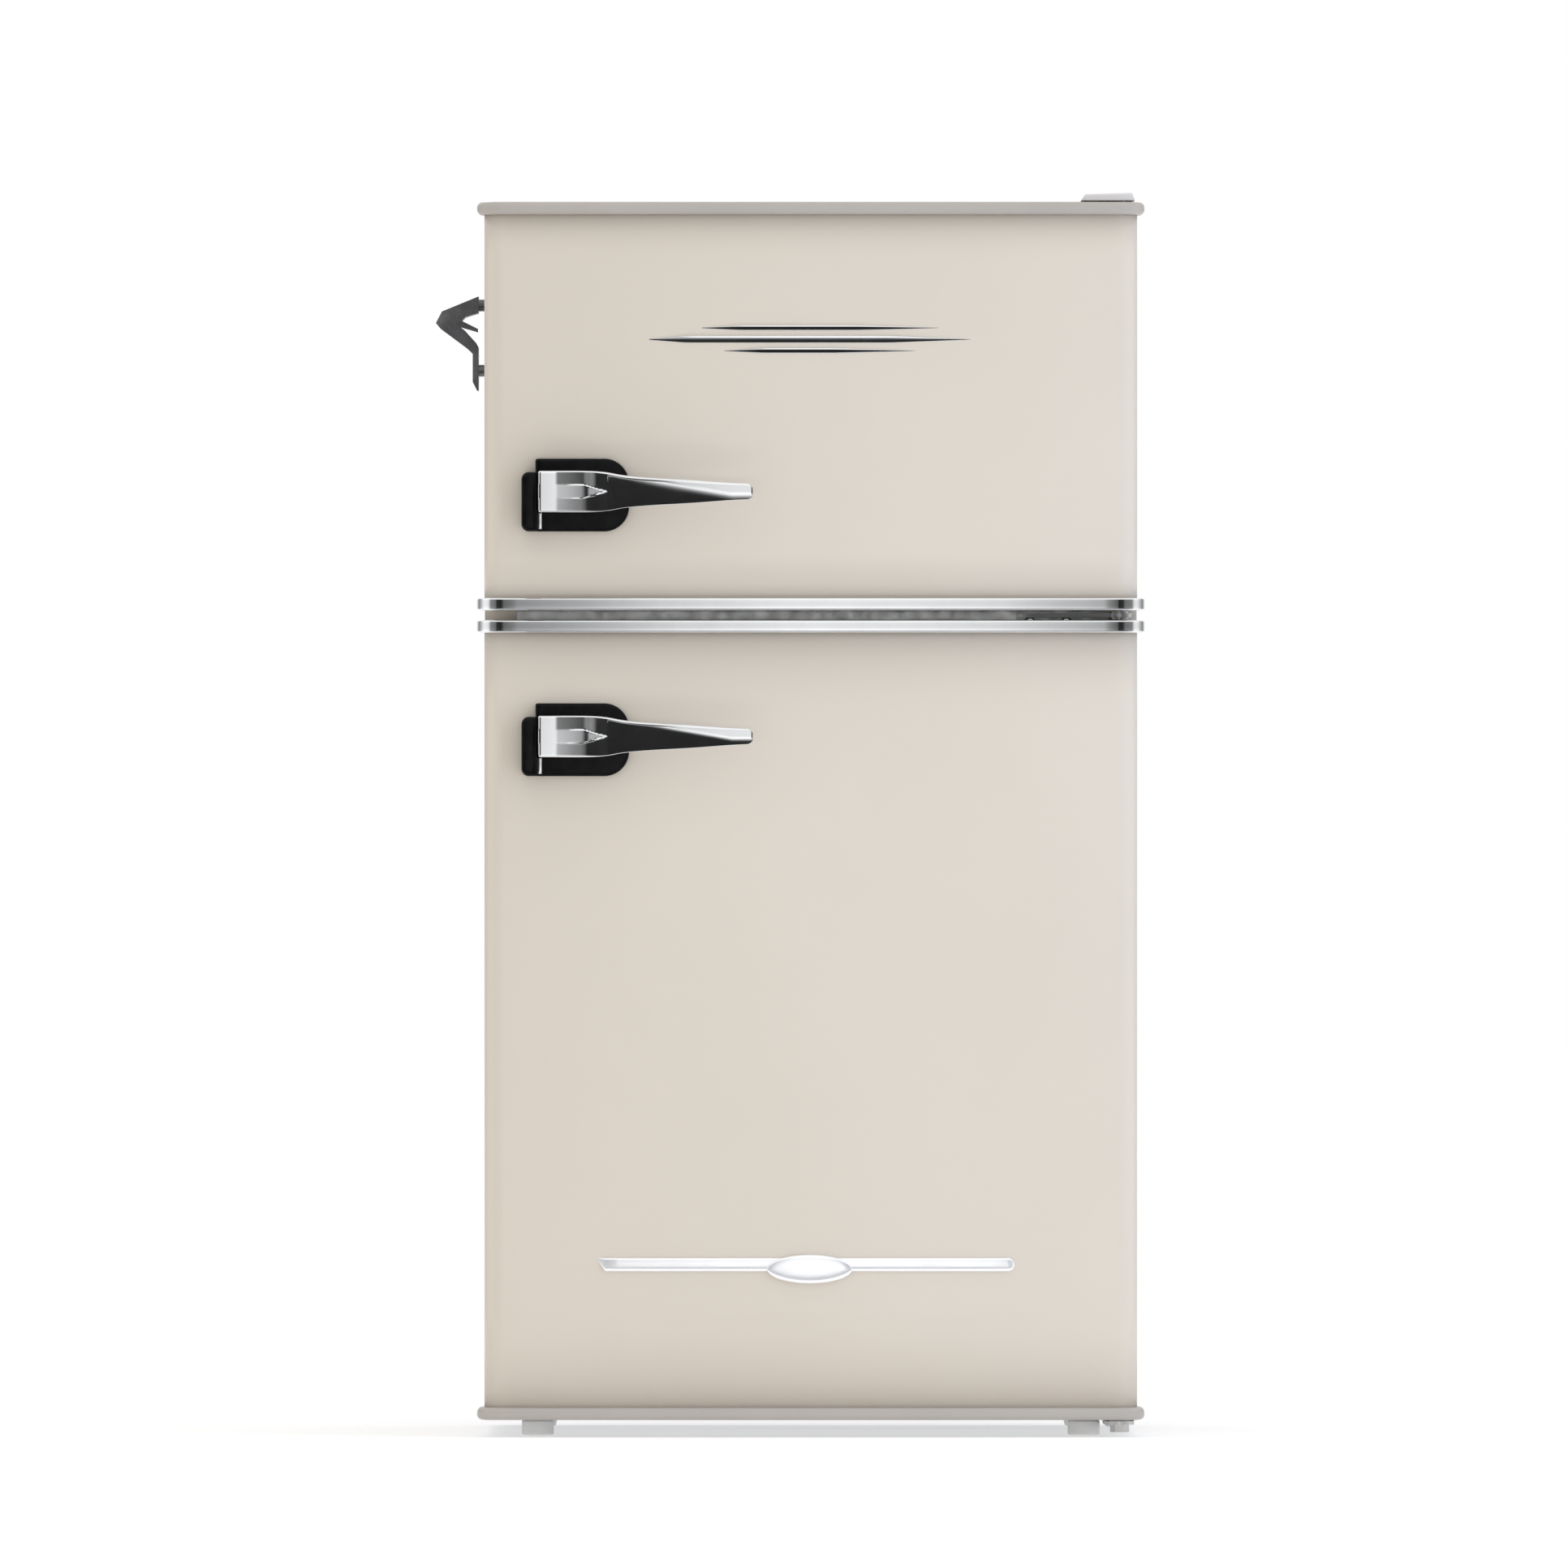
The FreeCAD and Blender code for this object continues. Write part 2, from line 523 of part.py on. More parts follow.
def drip_tray():
    """Water evaporates from this tray over the warm compressor."""
    cx, cy, low, high = COMPRESSOR_X, COMPRESSOR_Y + 4, 156.4, 178.0
    tray = box(cx - 58, cx + 58, cy - 42, cy + 42, low, high)
    tray = tray.makeFillet(8, edges_where(tray, lambda lo, hi: hi.z < high - 0.01 or hi.z - lo.z > 1))
    hollow = box(cx - 56, cx + 56, cy - 40, cy + 40, low + 2, high + 5)
    hollow = hollow.makeFillet(6, edges_where(hollow, lambda lo, hi: hi.z < high or hi.z - lo.z > 1))
    return tray.cut(hollow)


def drain_tube():
    """Carries meltwater from the fridge's back wall to the drip tray."""
    y = SLOT_Y + COLD_SLOT / 2
    pipe = rod(3.6, (COMPRESSOR_X, y, 168), (COMPRESSOR_X, y, HUMP_Z + 6))
    return pipe.cut(rod(2.6, (COMPRESSOR_X, y, 160), (COMPRESSOR_X, y, HUMP_Z + 10)))


# ---------------------------------------------------------------- inside the fridge
def glass_panel(z, y0, y1):
    glass = box(-176, 176, y0, y1, z, z + 4)
    return glass.makeFillet(6, edges_where(glass, vertical))


def shelf_glass():
    return glass_panel(SHELF_Z, SHELF_FRONT, 146)


def shelf_trim():
    """White edge strips clipped over the front and back of the glass shelf."""
    strips = []
    for y0, y1 in ((SHELF_FRONT - 8, SHELF_FRONT + 8), (138, 152)):
        strip = box(-171.5, 171.5, y0, y1, SHELF_Z - 3, SHELF_Z + 8)
        ends = edges_where(strip, lambda lo, hi: hi.x - lo.x > 100)
        strips.append(strip.makeFillet(2.4, ends))
    glass = box(-176.1, 176.1, SHELF_FRONT - 0.1, 146.1, SHELF_Z - 0.1, SHELF_Z + 4.1)
    return Part.makeCompound([s.cut(glass) for s in strips])


def crisper_cover():
    return glass_panel(CRISPER_COVER_Z, SHELF_FRONT, 62)


def open_box(x0, x1, y0, y1, z0, z1, wall, radius):
    """A rounded tray with an open top."""
    outer = box(x0, x1, y0, y1, z0, z1)
    outer = outer.makeFillet(radius, edges_where(outer, lambda lo, hi: lo.z < z1 - 0.01))
    inner = box(x0 + wall, x1 - wall, y0 + wall, y1 - wall, z0 + wall, z1 + radius)
    inner = inner.makeFillet(radius - wall, edges_where(inner, lambda lo, hi: lo.z < z1))
    return outer.cut(inner)


def crisper_drawer():
    side = DRAWER_HALF_W
    tray = open_box(-side, side, DRAWER_FRONT, DRAWER_BACK, DRAWER_BOTTOM, DRAWER_TOP, 2.5, 8)
    pull = box(-70, 70, DRAWER_FRONT - 9, DRAWER_FRONT + 1, DRAWER_TOP - 16, DRAWER_TOP - 12)
    lip = box(-70, 70, DRAWER_FRONT - 9, DRAWER_FRONT - 6, DRAWER_TOP - 26, DRAWER_TOP - 12)
    return fuse([tray, pull, lip])


THERMOSTAT = (58.0, 168.0, -78.0, 44.0, 493.0)
KNOB_X, KNOB_Z = 113.0, 514.0


def thermostat_housing():
    x0, x1, y0, y1, z0 = THERMOSTAT
    cover = box(x0, x1, y0, y1, z0, FRIDGE_CEILING)
    cover = cover.makeFillet(6, edges_where(cover, lambda lo, hi: lo.z < FRIDGE_CEILING - 0.01))
    hollow = box(x0 + 2, x1 - 2, y0 + 4, y1 - 2, z0 + 2, FRIDGE_CEILING - 2)
    seat = rod(17.2, (KNOB_X, y0 - 1, KNOB_Z), (KNOB_X, y0 + 2, KNOB_Z))
    spindle = rod(3.0, (KNOB_X, y0 - 10, KNOB_Z), (KNOB_X, y0 + 20, KNOB_Z))
    return fuse([cover.cut(hollow).cut(seat), spindle])


def thermostat_knob():
    y0 = THERMOSTAT[2]
    disc = rod(16.0, (KNOB_X, y0 - 6, KNOB_Z), (KNOB_X, y0 + 1.6, KNOB_Z))
    grip = box(KNOB_X - 3.2, KNOB_X + 3.2, y0 - 16, y0 - 5, KNOB_Z - 14.5, KNOB_Z + 14.5)
    grip = grip.makeFillet(1.6, edges_where(grip, lambda lo, hi: lo.y < y0 - 6))
    bore = rod(3.0 + PIN_PLAY, (KNOB_X, y0 - 10.4, KNOB_Z), (KNOB_X, y0 + 5, KNOB_Z))
    return fuse([disc, grip]).cut(bore)


# ---------------------------------------------------------------- doors
def handle_screw_places(z):
    """Two screws from inside the door's skin, through the escutcheon, into the lever's root."""
    return [((x, DOOR_EDGE - 1, z + HANDLE_LIFT), (0, -1, 0), 17, 2.2) for x in (-174.0, -146.0)]


def door_skin(z_range, handle_z):
    """Bowed steel front, wrapped round the sides and turned in at the back."""
    z0, z1 = z_range[0] + CAP_T, z_range[1] - CAP_T
    wrap = door_block(0, z0, z1).cut(door_block(-SHEET, z0, z1, DOOR_BACK + 1))
    returns = both_sides(box(HALF_W - 11, HALF_W - SHEET / 2, DOOR_BACK - SHEET, DOOR_BACK, z0, z1))
    return fuse([wrap] + returns).cut(screw_holes(handle_screw_places(handle_z)))


def door_cap(z_range, at_top, rounding):
    """End cap or trim: a rounded lip over the panel's edge, and a plug in the panel with the hinge bore."""
    if at_top:
        z0, z1 = z_range[1] - CAP_T, z_range[1]
        plug_z = (z0 - PLUG_T, z0 + 1)
    else:
        z0, z1 = z_range[0], z_range[0] + CAP_T
        plug_z = (z1 - 1, z1 + PLUG_T)
    lip = door_block(CAP_LIP, z0, z1)
    rim = edges_where(lip, lambda lo, hi: hi.z - lo.z < 0.01 and lo.y < DOOR_BACK - 0.01)
    lip = lip.makeFillet(rounding, rim)
    plug = door_block(-SHEET - 0.3, *plug_z, DOOR_BACK - LINER - 0.4)
    bore = rod(PIN_R + PIN_PLAY, (PIN_X, PIN_Y, plug_z[0] - 1 if at_top else z0 - 1),
               (PIN_X, PIN_Y, z1 + 1 if at_top else plug_z[1] + 1))
    return fuse([lip, plug]).cut(bore)


def rib_frame(cavity, inset):
    """The liner's ribs as a ring; with an inset, the hollow inside them, open at the back."""
    low, high, depth = cavity[0] + 16, cavity[1] - 16, DOOR_BACK + RIB_DEPTH
    back = DOOR_BACK - LINER - (1.0 if inset else 0.0)
    outer = box(-RIB_OUT + inset, RIB_OUT - inset, back, depth - inset, low + inset, high - inset)
    outer = outer.makeFillet(9 - inset, edges_where(outer, lambda lo, hi: hi.y > DOOR_BACK))
    well = box(-RIB_IN - inset, RIB_IN + inset, back - 1, depth + 20,
               low + RIB_OUT - RIB_IN - inset, high - RIB_OUT + RIB_IN + inset)
    well = well.makeFillet(8 + inset, edges_where(well, lambda lo, hi: hi.y - lo.y > 1))
    return outer.cut(well)


def door_foam(z_range, cavity, handle_z):
    """Foam between the door's skin and liner, which also fills the liner's ribs."""
    depth = CAP_T + PLUG_T + 0.1
    slab = door_block(-SHEET - 0.1, z_range[0] + depth, z_range[1] - depth, DOOR_BACK - LINER - 0.1)
    foam = fuse([slab, rib_frame(cavity, LINER + 0.1)])
    for (x, y, z), direction, shank, height in handle_screw_places(handle_z):
        foam = foam.cut(rod(SCREW_HEAD_R + 0.3, (x, y + height + 0.3, z), (x, y - 5.7, z)))
    return foam


def door_liner(z_range, cavity, racks):
    """White inner panel whose ribs reach into the compartment, with a peg for each end of each rack."""
    side = HALF_W - 11.3
    z0, z1 = z_range[0] + CAP_T + 0.1, z_range[1] - CAP_T - 0.1
    sheet = box(-side, side, DOOR_BACK - LINER, DOOR_BACK, z0, z1)
    shell = fuse([sheet, rib_frame(cavity, 0.0)]).cut(rib_frame(cavity, LINER))
    pegs = []
    for z in racks:
        y, height = DOOR_BACK + PEG_Y, z + PEG_Z
        pegs += both_sides(rod(RACK_PEG_R, (RIB_IN - 4, y, height), (RIB_IN + 0.5, y, height)))
    return fuse([shell] + pegs)


def door_rack(z, height, reach):
    """Moulded rack between the liner's ribs: a tray with a slotted rail, snapped over the pegs."""
    side, y0, y1 = RIB_IN - 0.3, DOOR_BACK + 0.3, DOOR_BACK + reach
    tray = open_box(-side, side, y0, y1, z, z + height, 2.2, 7)
    low_back = box(-side + 8, side - 8, y0 - 1, y0 + 8, z + 14, z + height + 1)
    tray = tray.cut(low_back.makeFillet(6, edges_where(low_back, lambda lo, hi: hi.y - lo.y > 1)))
    window = box(-128, 128, y1 - 8, y1 + 4, z + height - 19, z + height - 7)
    tray = tray.cut(window.makeFillet(4, edges_where(window, lambda lo, hi: hi.y - lo.y > 1)))
    peg_y, peg_z = DOOR_BACK + PEG_Y, z + PEG_Z
    holes = both_sides(rod(RACK_PEG_R + 0.1, (side - 6, peg_y, peg_z), (side + 1, peg_y, peg_z)))
    return tray.cut(fuse(holes))


def gasket(z_range, bottom_gap, top_gap):
    """Magnetic seal: four mitred strips between the door and the cabinet's front."""
    out_x, width = HALF_W - 11, 13.0
    z0, z1 = z_range[0] + bottom_gap, z_range[1] - top_gap
    y0, y1 = DOOR_BACK, FRONT - 0.2
    ix, iz0, iz1 = out_x - width, z0 + width, z1 - width
    sides = both_sides(prism([(out_x, z0), (out_x, z1), (ix, iz1), (ix, iz0)], "xz", y0, y1))
    top = prism([(-out_x, z1), (out_x, z1), (ix, iz1), (-ix, iz1)], "xz", y0, y1)
    bottom = prism([(-out_x, z0), (out_x, z0), (ix, iz0), (-ix, iz0)], "xz", y0, y1)
    return Part.makeCompound(sides + [top, bottom])


# ---------------------------------------------------------------- handles and trim
def handle_base(z):
    """Escutcheon that follows the door's bow: a plate rounded at its right end, with a block at its left."""
    low, high = z - HANDLE_HALF_H, z + HANDLE_HALF_H
    plate = box(HANDLE_LEFT, HANDLE_PLATE_RIGHT, DOOR_EDGE - 11, DOOR_EDGE + 4, low, high)
    ends = edges_where(plate, lambda lo, hi: lo.x > HANDLE_PLATE_RIGHT - 1 and hi.y - lo.y > 1)
    plate = plate.makeFillet(17.0, ends)
    plate = plate.makeFillet(2.0, edges_where(plate, lambda lo, hi: hi.y < DOOR_EDGE - 10.9))
    block = box(HANDLE_LEFT - 9.5, HANDLE_LEFT + 2, DOOR_EDGE - 25, DOOR_EDGE + 6, low, z + 15.7)
    flank = edges_where(block, lambda lo, hi: hi.x < HANDLE_LEFT - 9 and lo.y < DOOR_EDGE)
    block = block.makeFillet(4.0, flank)
    base = fuse([plate, block]).cut(door_block(0.05, z - 60, z + 60))
    return base.cut(screw_holes(handle_screw_places(z)))


def handle_lever(z):
    """Cast lever: a stout root on the escutcheon and an arm that tapers towards the door's middle."""
    centre = z + HANDLE_LIFT
    front = DOOR_EDGE - 39
    root_left, root_right = HANDLE_LEFT + 2.2, HANDLE_PLATE_RIGHT - 8
    root = box(root_left, root_right, front, DOOR_EDGE - 11, centre - 14.2, centre + 14.2)
    outer_edges = edges_where(root, lambda lo, hi: lo.y < DOOR_EDGE - 12 and lo.x < root_right - 1)
    root = root.makeFillet(4.0, outer_edges)
    sections = [
        (root_right - 12, 13.4, front + 0.4, front + 20),
        (root_right + 22, 10.3, front - 3.5, front + 11),
        (HANDLE_TIP - 28, 7.6, front - 5.5, front + 5),
        (HANDLE_TIP, 5.4, front - 5, front + 1.5),
    ]
    wires = []
    for x, half, y0, y1 in sections:
        chamfer = min(half, (y1 - y0) / 2) * 0.55
        outline = [(y0, -half + chamfer), (y0 + chamfer, -half), (y1 - chamfer, -half), (y1, -half + chamfer),
                   (y1, half - chamfer), (y1 - chamfer, half), (y0 + chamfer, half), (y0, half - chamfer)]
        corners = [V(x, y, centre + dz) for y, dz in outline]
        wires.append(Part.makePolygon(corners + corners[:1]))
    arm = Part.makeLoft(wires, True, True)
    return fuse([root, arm]).cut(screw_holes(handle_screw_places(z)))


def handle_screws(z):
    return Part.makeCompound([screw(*place) for place in handle_screw_places(z)])


def on_door(outline, proud):
    """An outline (a solid running along Y) cut to a plate of thickness proud that follows the door's bow."""
    z0, z1 = outline.BoundBox.ZMin - 5, outline.BoundBox.ZMax + 5
    return outline.common(door_block(proud, z0, z1)).cut(door_block(0.05, z0, z1))


def badge():
    """Three tapering speed lines, one above another."""
    lines = []
    for z, left, right, half in ((757.5, -78, 92, 1.9), (749.7, -115, 114, 2.6), (741.9, -62, 76, 1.9)):
        widest = (left + 30, right - 60)
        outline = [(left, z), (widest[0], z - half), (widest[1], z - half),
                   (right, z), (widest[1], z + half), (widest[0], z + half)]
        lines.append(on_door(prism(outline, "xz", DOOR_EDGE - 20, DOOR_EDGE + 4), BADGE_PROUD))
    return Part.makeCompound(lines)


def lower_trim():
    """Bright bar with an oval boss in its middle."""
    low, high, left, right = 113.2, 122.6, -146.5, 139.2
    outline = [(left, high), (left + 6, low), (right, low), (right, high)]
    bar = prism(outline, "xz", DOOR_EDGE - 20, DOOR_EDGE + 4)
    bar = bar.makeFillet(4.4, edges_where(bar, lambda lo, hi: lo.x > right - 0.01 and hi.y - lo.y > 1))
    middle = V(-0.8, DOOR_EDGE + 4, 114.9)
    oval = Part.Ellipse(middle, 29.5, 10.0).toShape()
    oval.rotate(middle, X, 90)
    boss = Part.Face(Part.Wire(oval)).extrude(V(0, -24, 0))
    return fuse([on_door(bar, BAR_PROUD), on_door(boss, BOSS_PROUD)])


# ---------------------------------------------------------------- hinges
def hinge_plate(points, z0, z1):
    plate = prism(points, "xy", z0, z1)
    return fuse([plate, Part.makeCylinder(10, z1 - z0, V(PIN_X, PIN_Y, z0))])


def top_hinge():
    """Bracket on the cabinet's roof with the freezer door's upper pin."""
    outline = [(189, -152), (217, -152), (217, -210), (218, PIN_Y), (PIN_X - 10, PIN_Y), (189, -210)]
    plate = prism(outline, "xy", CAB_TOP, CAB_TOP + TOP_HINGE_T)
    nose = Part.makeCylinder(8, TOP_HINGE_T, V(PIN_X, PIN_Y, CAB_TOP))
    plate = fuse([plate, nose])
    pin = rod(PIN_R, (PIN_X, PIN_Y, FREEZER_DOOR_Z[1] - PIN_REACH), (PIN_X, PIN_Y, CAB_TOP + TOP_HINGE_T))
    return fuse([plate, pin]).cut(screw_holes(TOP_SCREWS))


def top_hinge_cover():
    """Moulded cap over the top bracket."""
    low, y0, y1 = CAB_TOP + 0.1, -250.0, -148.0
    outer = prism([(184.5, low), (187.5, TOTAL_H - 0.9), (219.5, TOTAL_H), (221.5, low)], "xz", y0, y1)
    outer = outer.makeFillet(1.2, edges_where(outer, lambda lo, hi: lo.z > low + 0.01))
    hollow = box(187.8, 219.3, y0 + 1.4, y1 - 1.4, low - 1, TOTAL_H - 1.7)
    return outer.cut(hollow)


def middle_hinge():
    """Bracket between the doors, screwed to the centre rail, with a pin up and a pin down."""
    middle = (FREEZER_DOOR_Z[0] + FRIDGE_DOOR_Z[1]) / 2
    z0, z1 = middle - 1.5, middle + 1.5
    outline = [(141, FRONT), (219, FRONT), (PIN_X + 9.5, PIN_Y),
               (PIN_X - 6, PIN_Y - 8), (150, -226), (141, -218)]
    plate = hinge_plate(outline, z0, z1)
    flange = box(141, 184, FRONT - HINGE_T, FRONT, 552, 571)
    washers = [Part.makeCylinder(7, 1.2, V(PIN_X, PIN_Y, z)) for z in (z1, z0 - 1.2)]
    low, high = FRIDGE_DOOR_Z[1] - PIN_REACH, FREEZER_DOOR_Z[0] + PIN_REACH
    pin = rod(PIN_R, (PIN_X, PIN_Y, low), (PIN_X, PIN_Y, high))
    heads = [rod(SCREW_HEAD_R + 0.4, V(*place[0]) - Y * 6, place[0]) for place in MIDDLE_SCREWS]
    return fuse([plate, flange, pin] + washers).cut(screw_holes(MIDDLE_SCREWS)).cut(fuse(heads))


def bottom_hinge():
    """Bracket under the base pan with the fridge door's lower pin and its locknut."""
    outline = [(200, -148), (221, -148), (221, PIN_Y), (PIN_X - 10, PIN_Y), (200, -200)]
    plate = hinge_plate(outline, CAB_BOTTOM - HINGE_T, CAB_BOTTOM)
    washer = Part.makeCylinder(7, 0.7, V(PIN_X, PIN_Y, CAB_BOTTOM))
    pin = rod(PIN_R, (PIN_X, PIN_Y, CAB_BOTTOM - HINGE_T), (PIN_X, PIN_Y, FRIDGE_DOOR_Z[0] + PIN_REACH))
    nut = prism(hexagon(PIN_X, PIN_Y, 6.5), "xy", 3.2, CAB_BOTTOM - HINGE_T)
    return fuse([plate, washer, pin, nut]).cut(screw_holes(BOTTOM_SCREWS))


# ---------------------------------------------------------------- feet and bottle opener
def front_foot(side):
    """Levelling foot: a moulded pad on a threaded stud."""
    x = side * FOOT_X
    pad = Part.makeCylinder(FOOT_R, 10.4, V(x, FOOT_FRONT_Y, 0))
    rims = [e for e in pad.Edges if abs(e.BoundBox.ZMax - e.BoundBox.ZMin) < 0.01]
    pad = pad.makeFillet(1.5, rims)
    stud = Part.makeCylinder(STUD_R, 15, V(x, FOOT_FRONT_Y, 10))
    return fuse([pad, stud])


def rear_feet():
    feet = []
    for side in (-1, 1):
        pad = Part.makeCone(10, 13, CAB_BOTTOM, V(side * FOOT_X, FOOT_BACK_Y, 0))
        feet.append(pad)
    return Part.makeCompound(feet)


def bottle_opener():
    """Cast opener: a beak that stands out from the cabinet's side, open below, with a tooth inside it."""
    y0, y1 = OPENER_Y - OPENER_HALF_W, OPENER_Y + OPENER_HALF_W
    back, nose = -HALF_W - OPENER_STAND_OFF, -HALF_W - OPENER_REACH
    top, low = OPENER_TOP, OPENER_BOTTOM
    arm = prism([(back, top), (nose + 4.2, top - 10.3), (nose, top - 18.3), (nose + 3, top - 21.9),
                 (nose + 15, top - 19.8), (back - 9, top - 14.3), (back, top - 11.5)], "xz", y0, y1)
    jaw = prism([(nose + 3, top - 21.9), (back - 8, top - 35.5), (back - OPENER_T, top - 39.3),
                 (back - OPENER_T, low + 6.0), (back - 1, low), (back, low), (back, top - 35.0),
                 (back - 1.6, top - 32.0), (back - 9.5, top - 23.3), (nose + 14, top - 18.8)], "xz", y0, y1)
    mouth = box(nose - 1, back - OPENER_T - 0.2, OPENER_Y - 14.5, OPENER_Y + 14.5, top - 44.0, top - 20.3)
    mouth = mouth.makeFillet(6, edges_where(mouth, lambda lo, hi: hi.x - lo.x > 1))
    tooth = prism([(nose + 13, top - 14.3), (back - 0.5, top - 22.1), (back - 0.5, top - 24.5),
                   (nose + 13, top - 19.8)], "xz", OPENER_Y - 8, OPENER_Y + 8)
    whole = fuse([arm, jaw.cut(mouth), tooth])
    for y in (OPENER_Y - OPENER_SCREW_DY, OPENER_Y + OPENER_SCREW_DY):
        for z in (OPENER_SCREW_Z, top - 6):
            whole = whole.fuse(rod(4, (-HALF_W, y, z), (back - 0.5, y, z)))
        seat = rod(SCREW_HEAD_R + 0.2, (OPENER_SEAT_X, y, OPENER_SCREW_Z), (nose, y, OPENER_SCREW_Z))
        whole = whole.cut(seat)
    return whole.removeSplitter().cut(screw_holes(OPENER_SCREWS))


# ---------------------------------------------------------------- every sub-part by its node's name
NODES = {
    "cabinet_shell": cabinet_shell,
    "back_panel": back_panel,
    "base_pan": base_pan,
    "cabinet_foam": cabinet_foam,
    "freezer_liner": freezer_liner,
    "fridge_liner": fridge_liner,
    "centre_rail": centre_rail,
    "evaporator": evaporator,
    "condenser_coil": condenser_coil,
    "condenser_wires": condenser_wires,
    "condenser_clips": condenser_clips,
    "compressor": compressor,
    "compressor_rail": compressor_rail,
    "compressor_grommets": compressor_grommets,
    "compressor_bolts": compressor_bolts,
    "relay_cover": relay_cover,
    "cord_gland": cord_gland,
    "suction_line": suction_line,
    "discharge_line": discharge_line,
    "filter_drier": filter_drier,
    "drip_tray": drip_tray,
    "drain_tube": drain_tube,
    "shelf_glass": shelf_glass,
    "shelf_trim": shelf_trim,
    "crisper_cover": crisper_cover,
    "crisper_drawer": crisper_drawer,
    "thermostat_housing": thermostat_housing,
    "thermostat_knob": thermostat_knob,
    "freezer_door_skin": lambda: door_skin(FREEZER_DOOR_Z, FREEZER_HANDLE_Z),
    "freezer_door_top_cap": lambda: door_cap(FREEZER_DOOR_Z, True, CAP_ROUND),
    "freezer_door_bottom_trim": lambda: door_cap(FREEZER_DOOR_Z, False, TRIM_ROUND),
    "freezer_door_foam": lambda: door_foam(FREEZER_DOOR_Z, FREEZER_CAVITY_Z, FREEZER_HANDLE_Z),
    "freezer_door_liner": lambda: door_liner(FREEZER_DOOR_Z, FREEZER_CAVITY_Z, [FREEZER_RACK_Z]),
    "freezer_door_rack": lambda: door_rack(FREEZER_RACK_Z, 62, 72),
    "freezer_gasket": lambda: gasket(FREEZER_DOOR_Z, 9, 12),
    "freezer_handle_base": lambda: handle_base(FREEZER_HANDLE_Z),
    "freezer_handle_lever": lambda: handle_lever(FREEZER_HANDLE_Z),
    "freezer_handle_screws": lambda: handle_screws(FREEZER_HANDLE_Z),
    "badge": badge,
    "fridge_door_skin": lambda: door_skin(FRIDGE_DOOR_Z, FRIDGE_HANDLE_Z),
    "fridge_door_top_trim": lambda: door_cap(FRIDGE_DOOR_Z, True, TRIM_ROUND),
    "fridge_door_bottom_cap": lambda: door_cap(FRIDGE_DOOR_Z, False, CAP_ROUND),
    "fridge_door_foam": lambda: door_foam(FRIDGE_DOOR_Z, FRIDGE_CAVITY_Z, FRIDGE_HANDLE_Z),
    "fridge_door_liner": lambda: door_liner(FRIDGE_DOOR_Z, FRIDGE_CAVITY_Z, [BOTTLE_RACK_Z, UPPER_RACK_Z]),
    "fridge_door_bottle_rack": lambda: door_rack(BOTTLE_RACK_Z, 88, 84),
    "fridge_door_upper_rack": lambda: door_rack(UPPER_RACK_Z, 62, 70),
    "fridge_gasket": lambda: gasket(FRIDGE_DOOR_Z, 12, 9),
    "fridge_handle_base": lambda: handle_base(FRIDGE_HANDLE_Z),
    "fridge_handle_lever": lambda: handle_lever(FRIDGE_HANDLE_Z),
    "fridge_handle_screws": lambda: handle_screws(FRIDGE_HANDLE_Z),
    "lower_trim": lower_trim,
    "top_hinge": top_hinge,
    "top_hinge_cover": top_hinge_cover,
    "middle_hinge": middle_hinge,
    "bottom_hinge": bottom_hinge,
    "cabinet_screws": cabinet_screws,
    "front_foot_left": lambda: front_foot(-1),
    "front_foot_right": lambda: front_foot(1),
    "rear_feet": rear_feet,
    "bottle_opener": bottle_opener,
}

if __name__ == "__main__":
    os.makedirs("parts", exist_ok=True)
    for name, make in NODES.items():
        shape = make()
        solids = shape.Solids
        valid = all(s.isValid() and s.isClosed() for s in solids)
        state = "" if valid and solids else "BAD"
        print(f"{name:26s} {len(solids):3d} solids {shape.Volume / 1000:10.1f} cm3 {state}")
        shape.exportStep(f"parts/{name}.step")
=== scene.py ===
"""Looks for the two-door compact refrigerator: finishes, detailed pieces, studio and camera.

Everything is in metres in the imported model's frame: +Z up, the doors face -Y and are hinged at +X.
"""

import json
import math

import bmesh
import bpy
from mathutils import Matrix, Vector


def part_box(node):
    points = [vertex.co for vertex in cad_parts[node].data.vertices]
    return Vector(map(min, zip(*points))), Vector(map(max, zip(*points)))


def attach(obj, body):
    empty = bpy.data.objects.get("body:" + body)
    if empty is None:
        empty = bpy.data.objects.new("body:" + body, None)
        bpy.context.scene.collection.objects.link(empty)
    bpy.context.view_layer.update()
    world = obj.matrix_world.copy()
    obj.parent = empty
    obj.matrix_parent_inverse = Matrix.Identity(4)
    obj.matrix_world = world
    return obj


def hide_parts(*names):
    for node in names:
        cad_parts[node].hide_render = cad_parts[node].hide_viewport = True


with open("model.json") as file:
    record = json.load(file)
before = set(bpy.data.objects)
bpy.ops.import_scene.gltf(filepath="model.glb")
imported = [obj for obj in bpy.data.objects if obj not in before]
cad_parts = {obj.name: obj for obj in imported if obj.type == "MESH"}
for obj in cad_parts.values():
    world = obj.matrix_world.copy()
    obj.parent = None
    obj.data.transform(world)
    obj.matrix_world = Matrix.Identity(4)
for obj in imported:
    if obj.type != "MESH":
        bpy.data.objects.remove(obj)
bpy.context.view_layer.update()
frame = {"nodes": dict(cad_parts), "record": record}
NODES = frame["nodes"]
MM = 0.001

# ---------------------------------------------------------------- driving sizes that the frame doesn't give
CROWN = 5.0 * MM           # how far a door's front bows forward
DOOR_CORNER = 14.0 * MM    # rounding of a door panel's vertical front edges
CAP_LIP = 8.6 * MM         # height of an end cap's lip
CAP_ROUND = 3.6 * MM       # rounding of a moulded cap's lip
TRIM_ROUND = 1.4 * MM      # rounding of a chrome trim's lip
SHEET = 0.8 * MM           # thickness of a door's painted steel

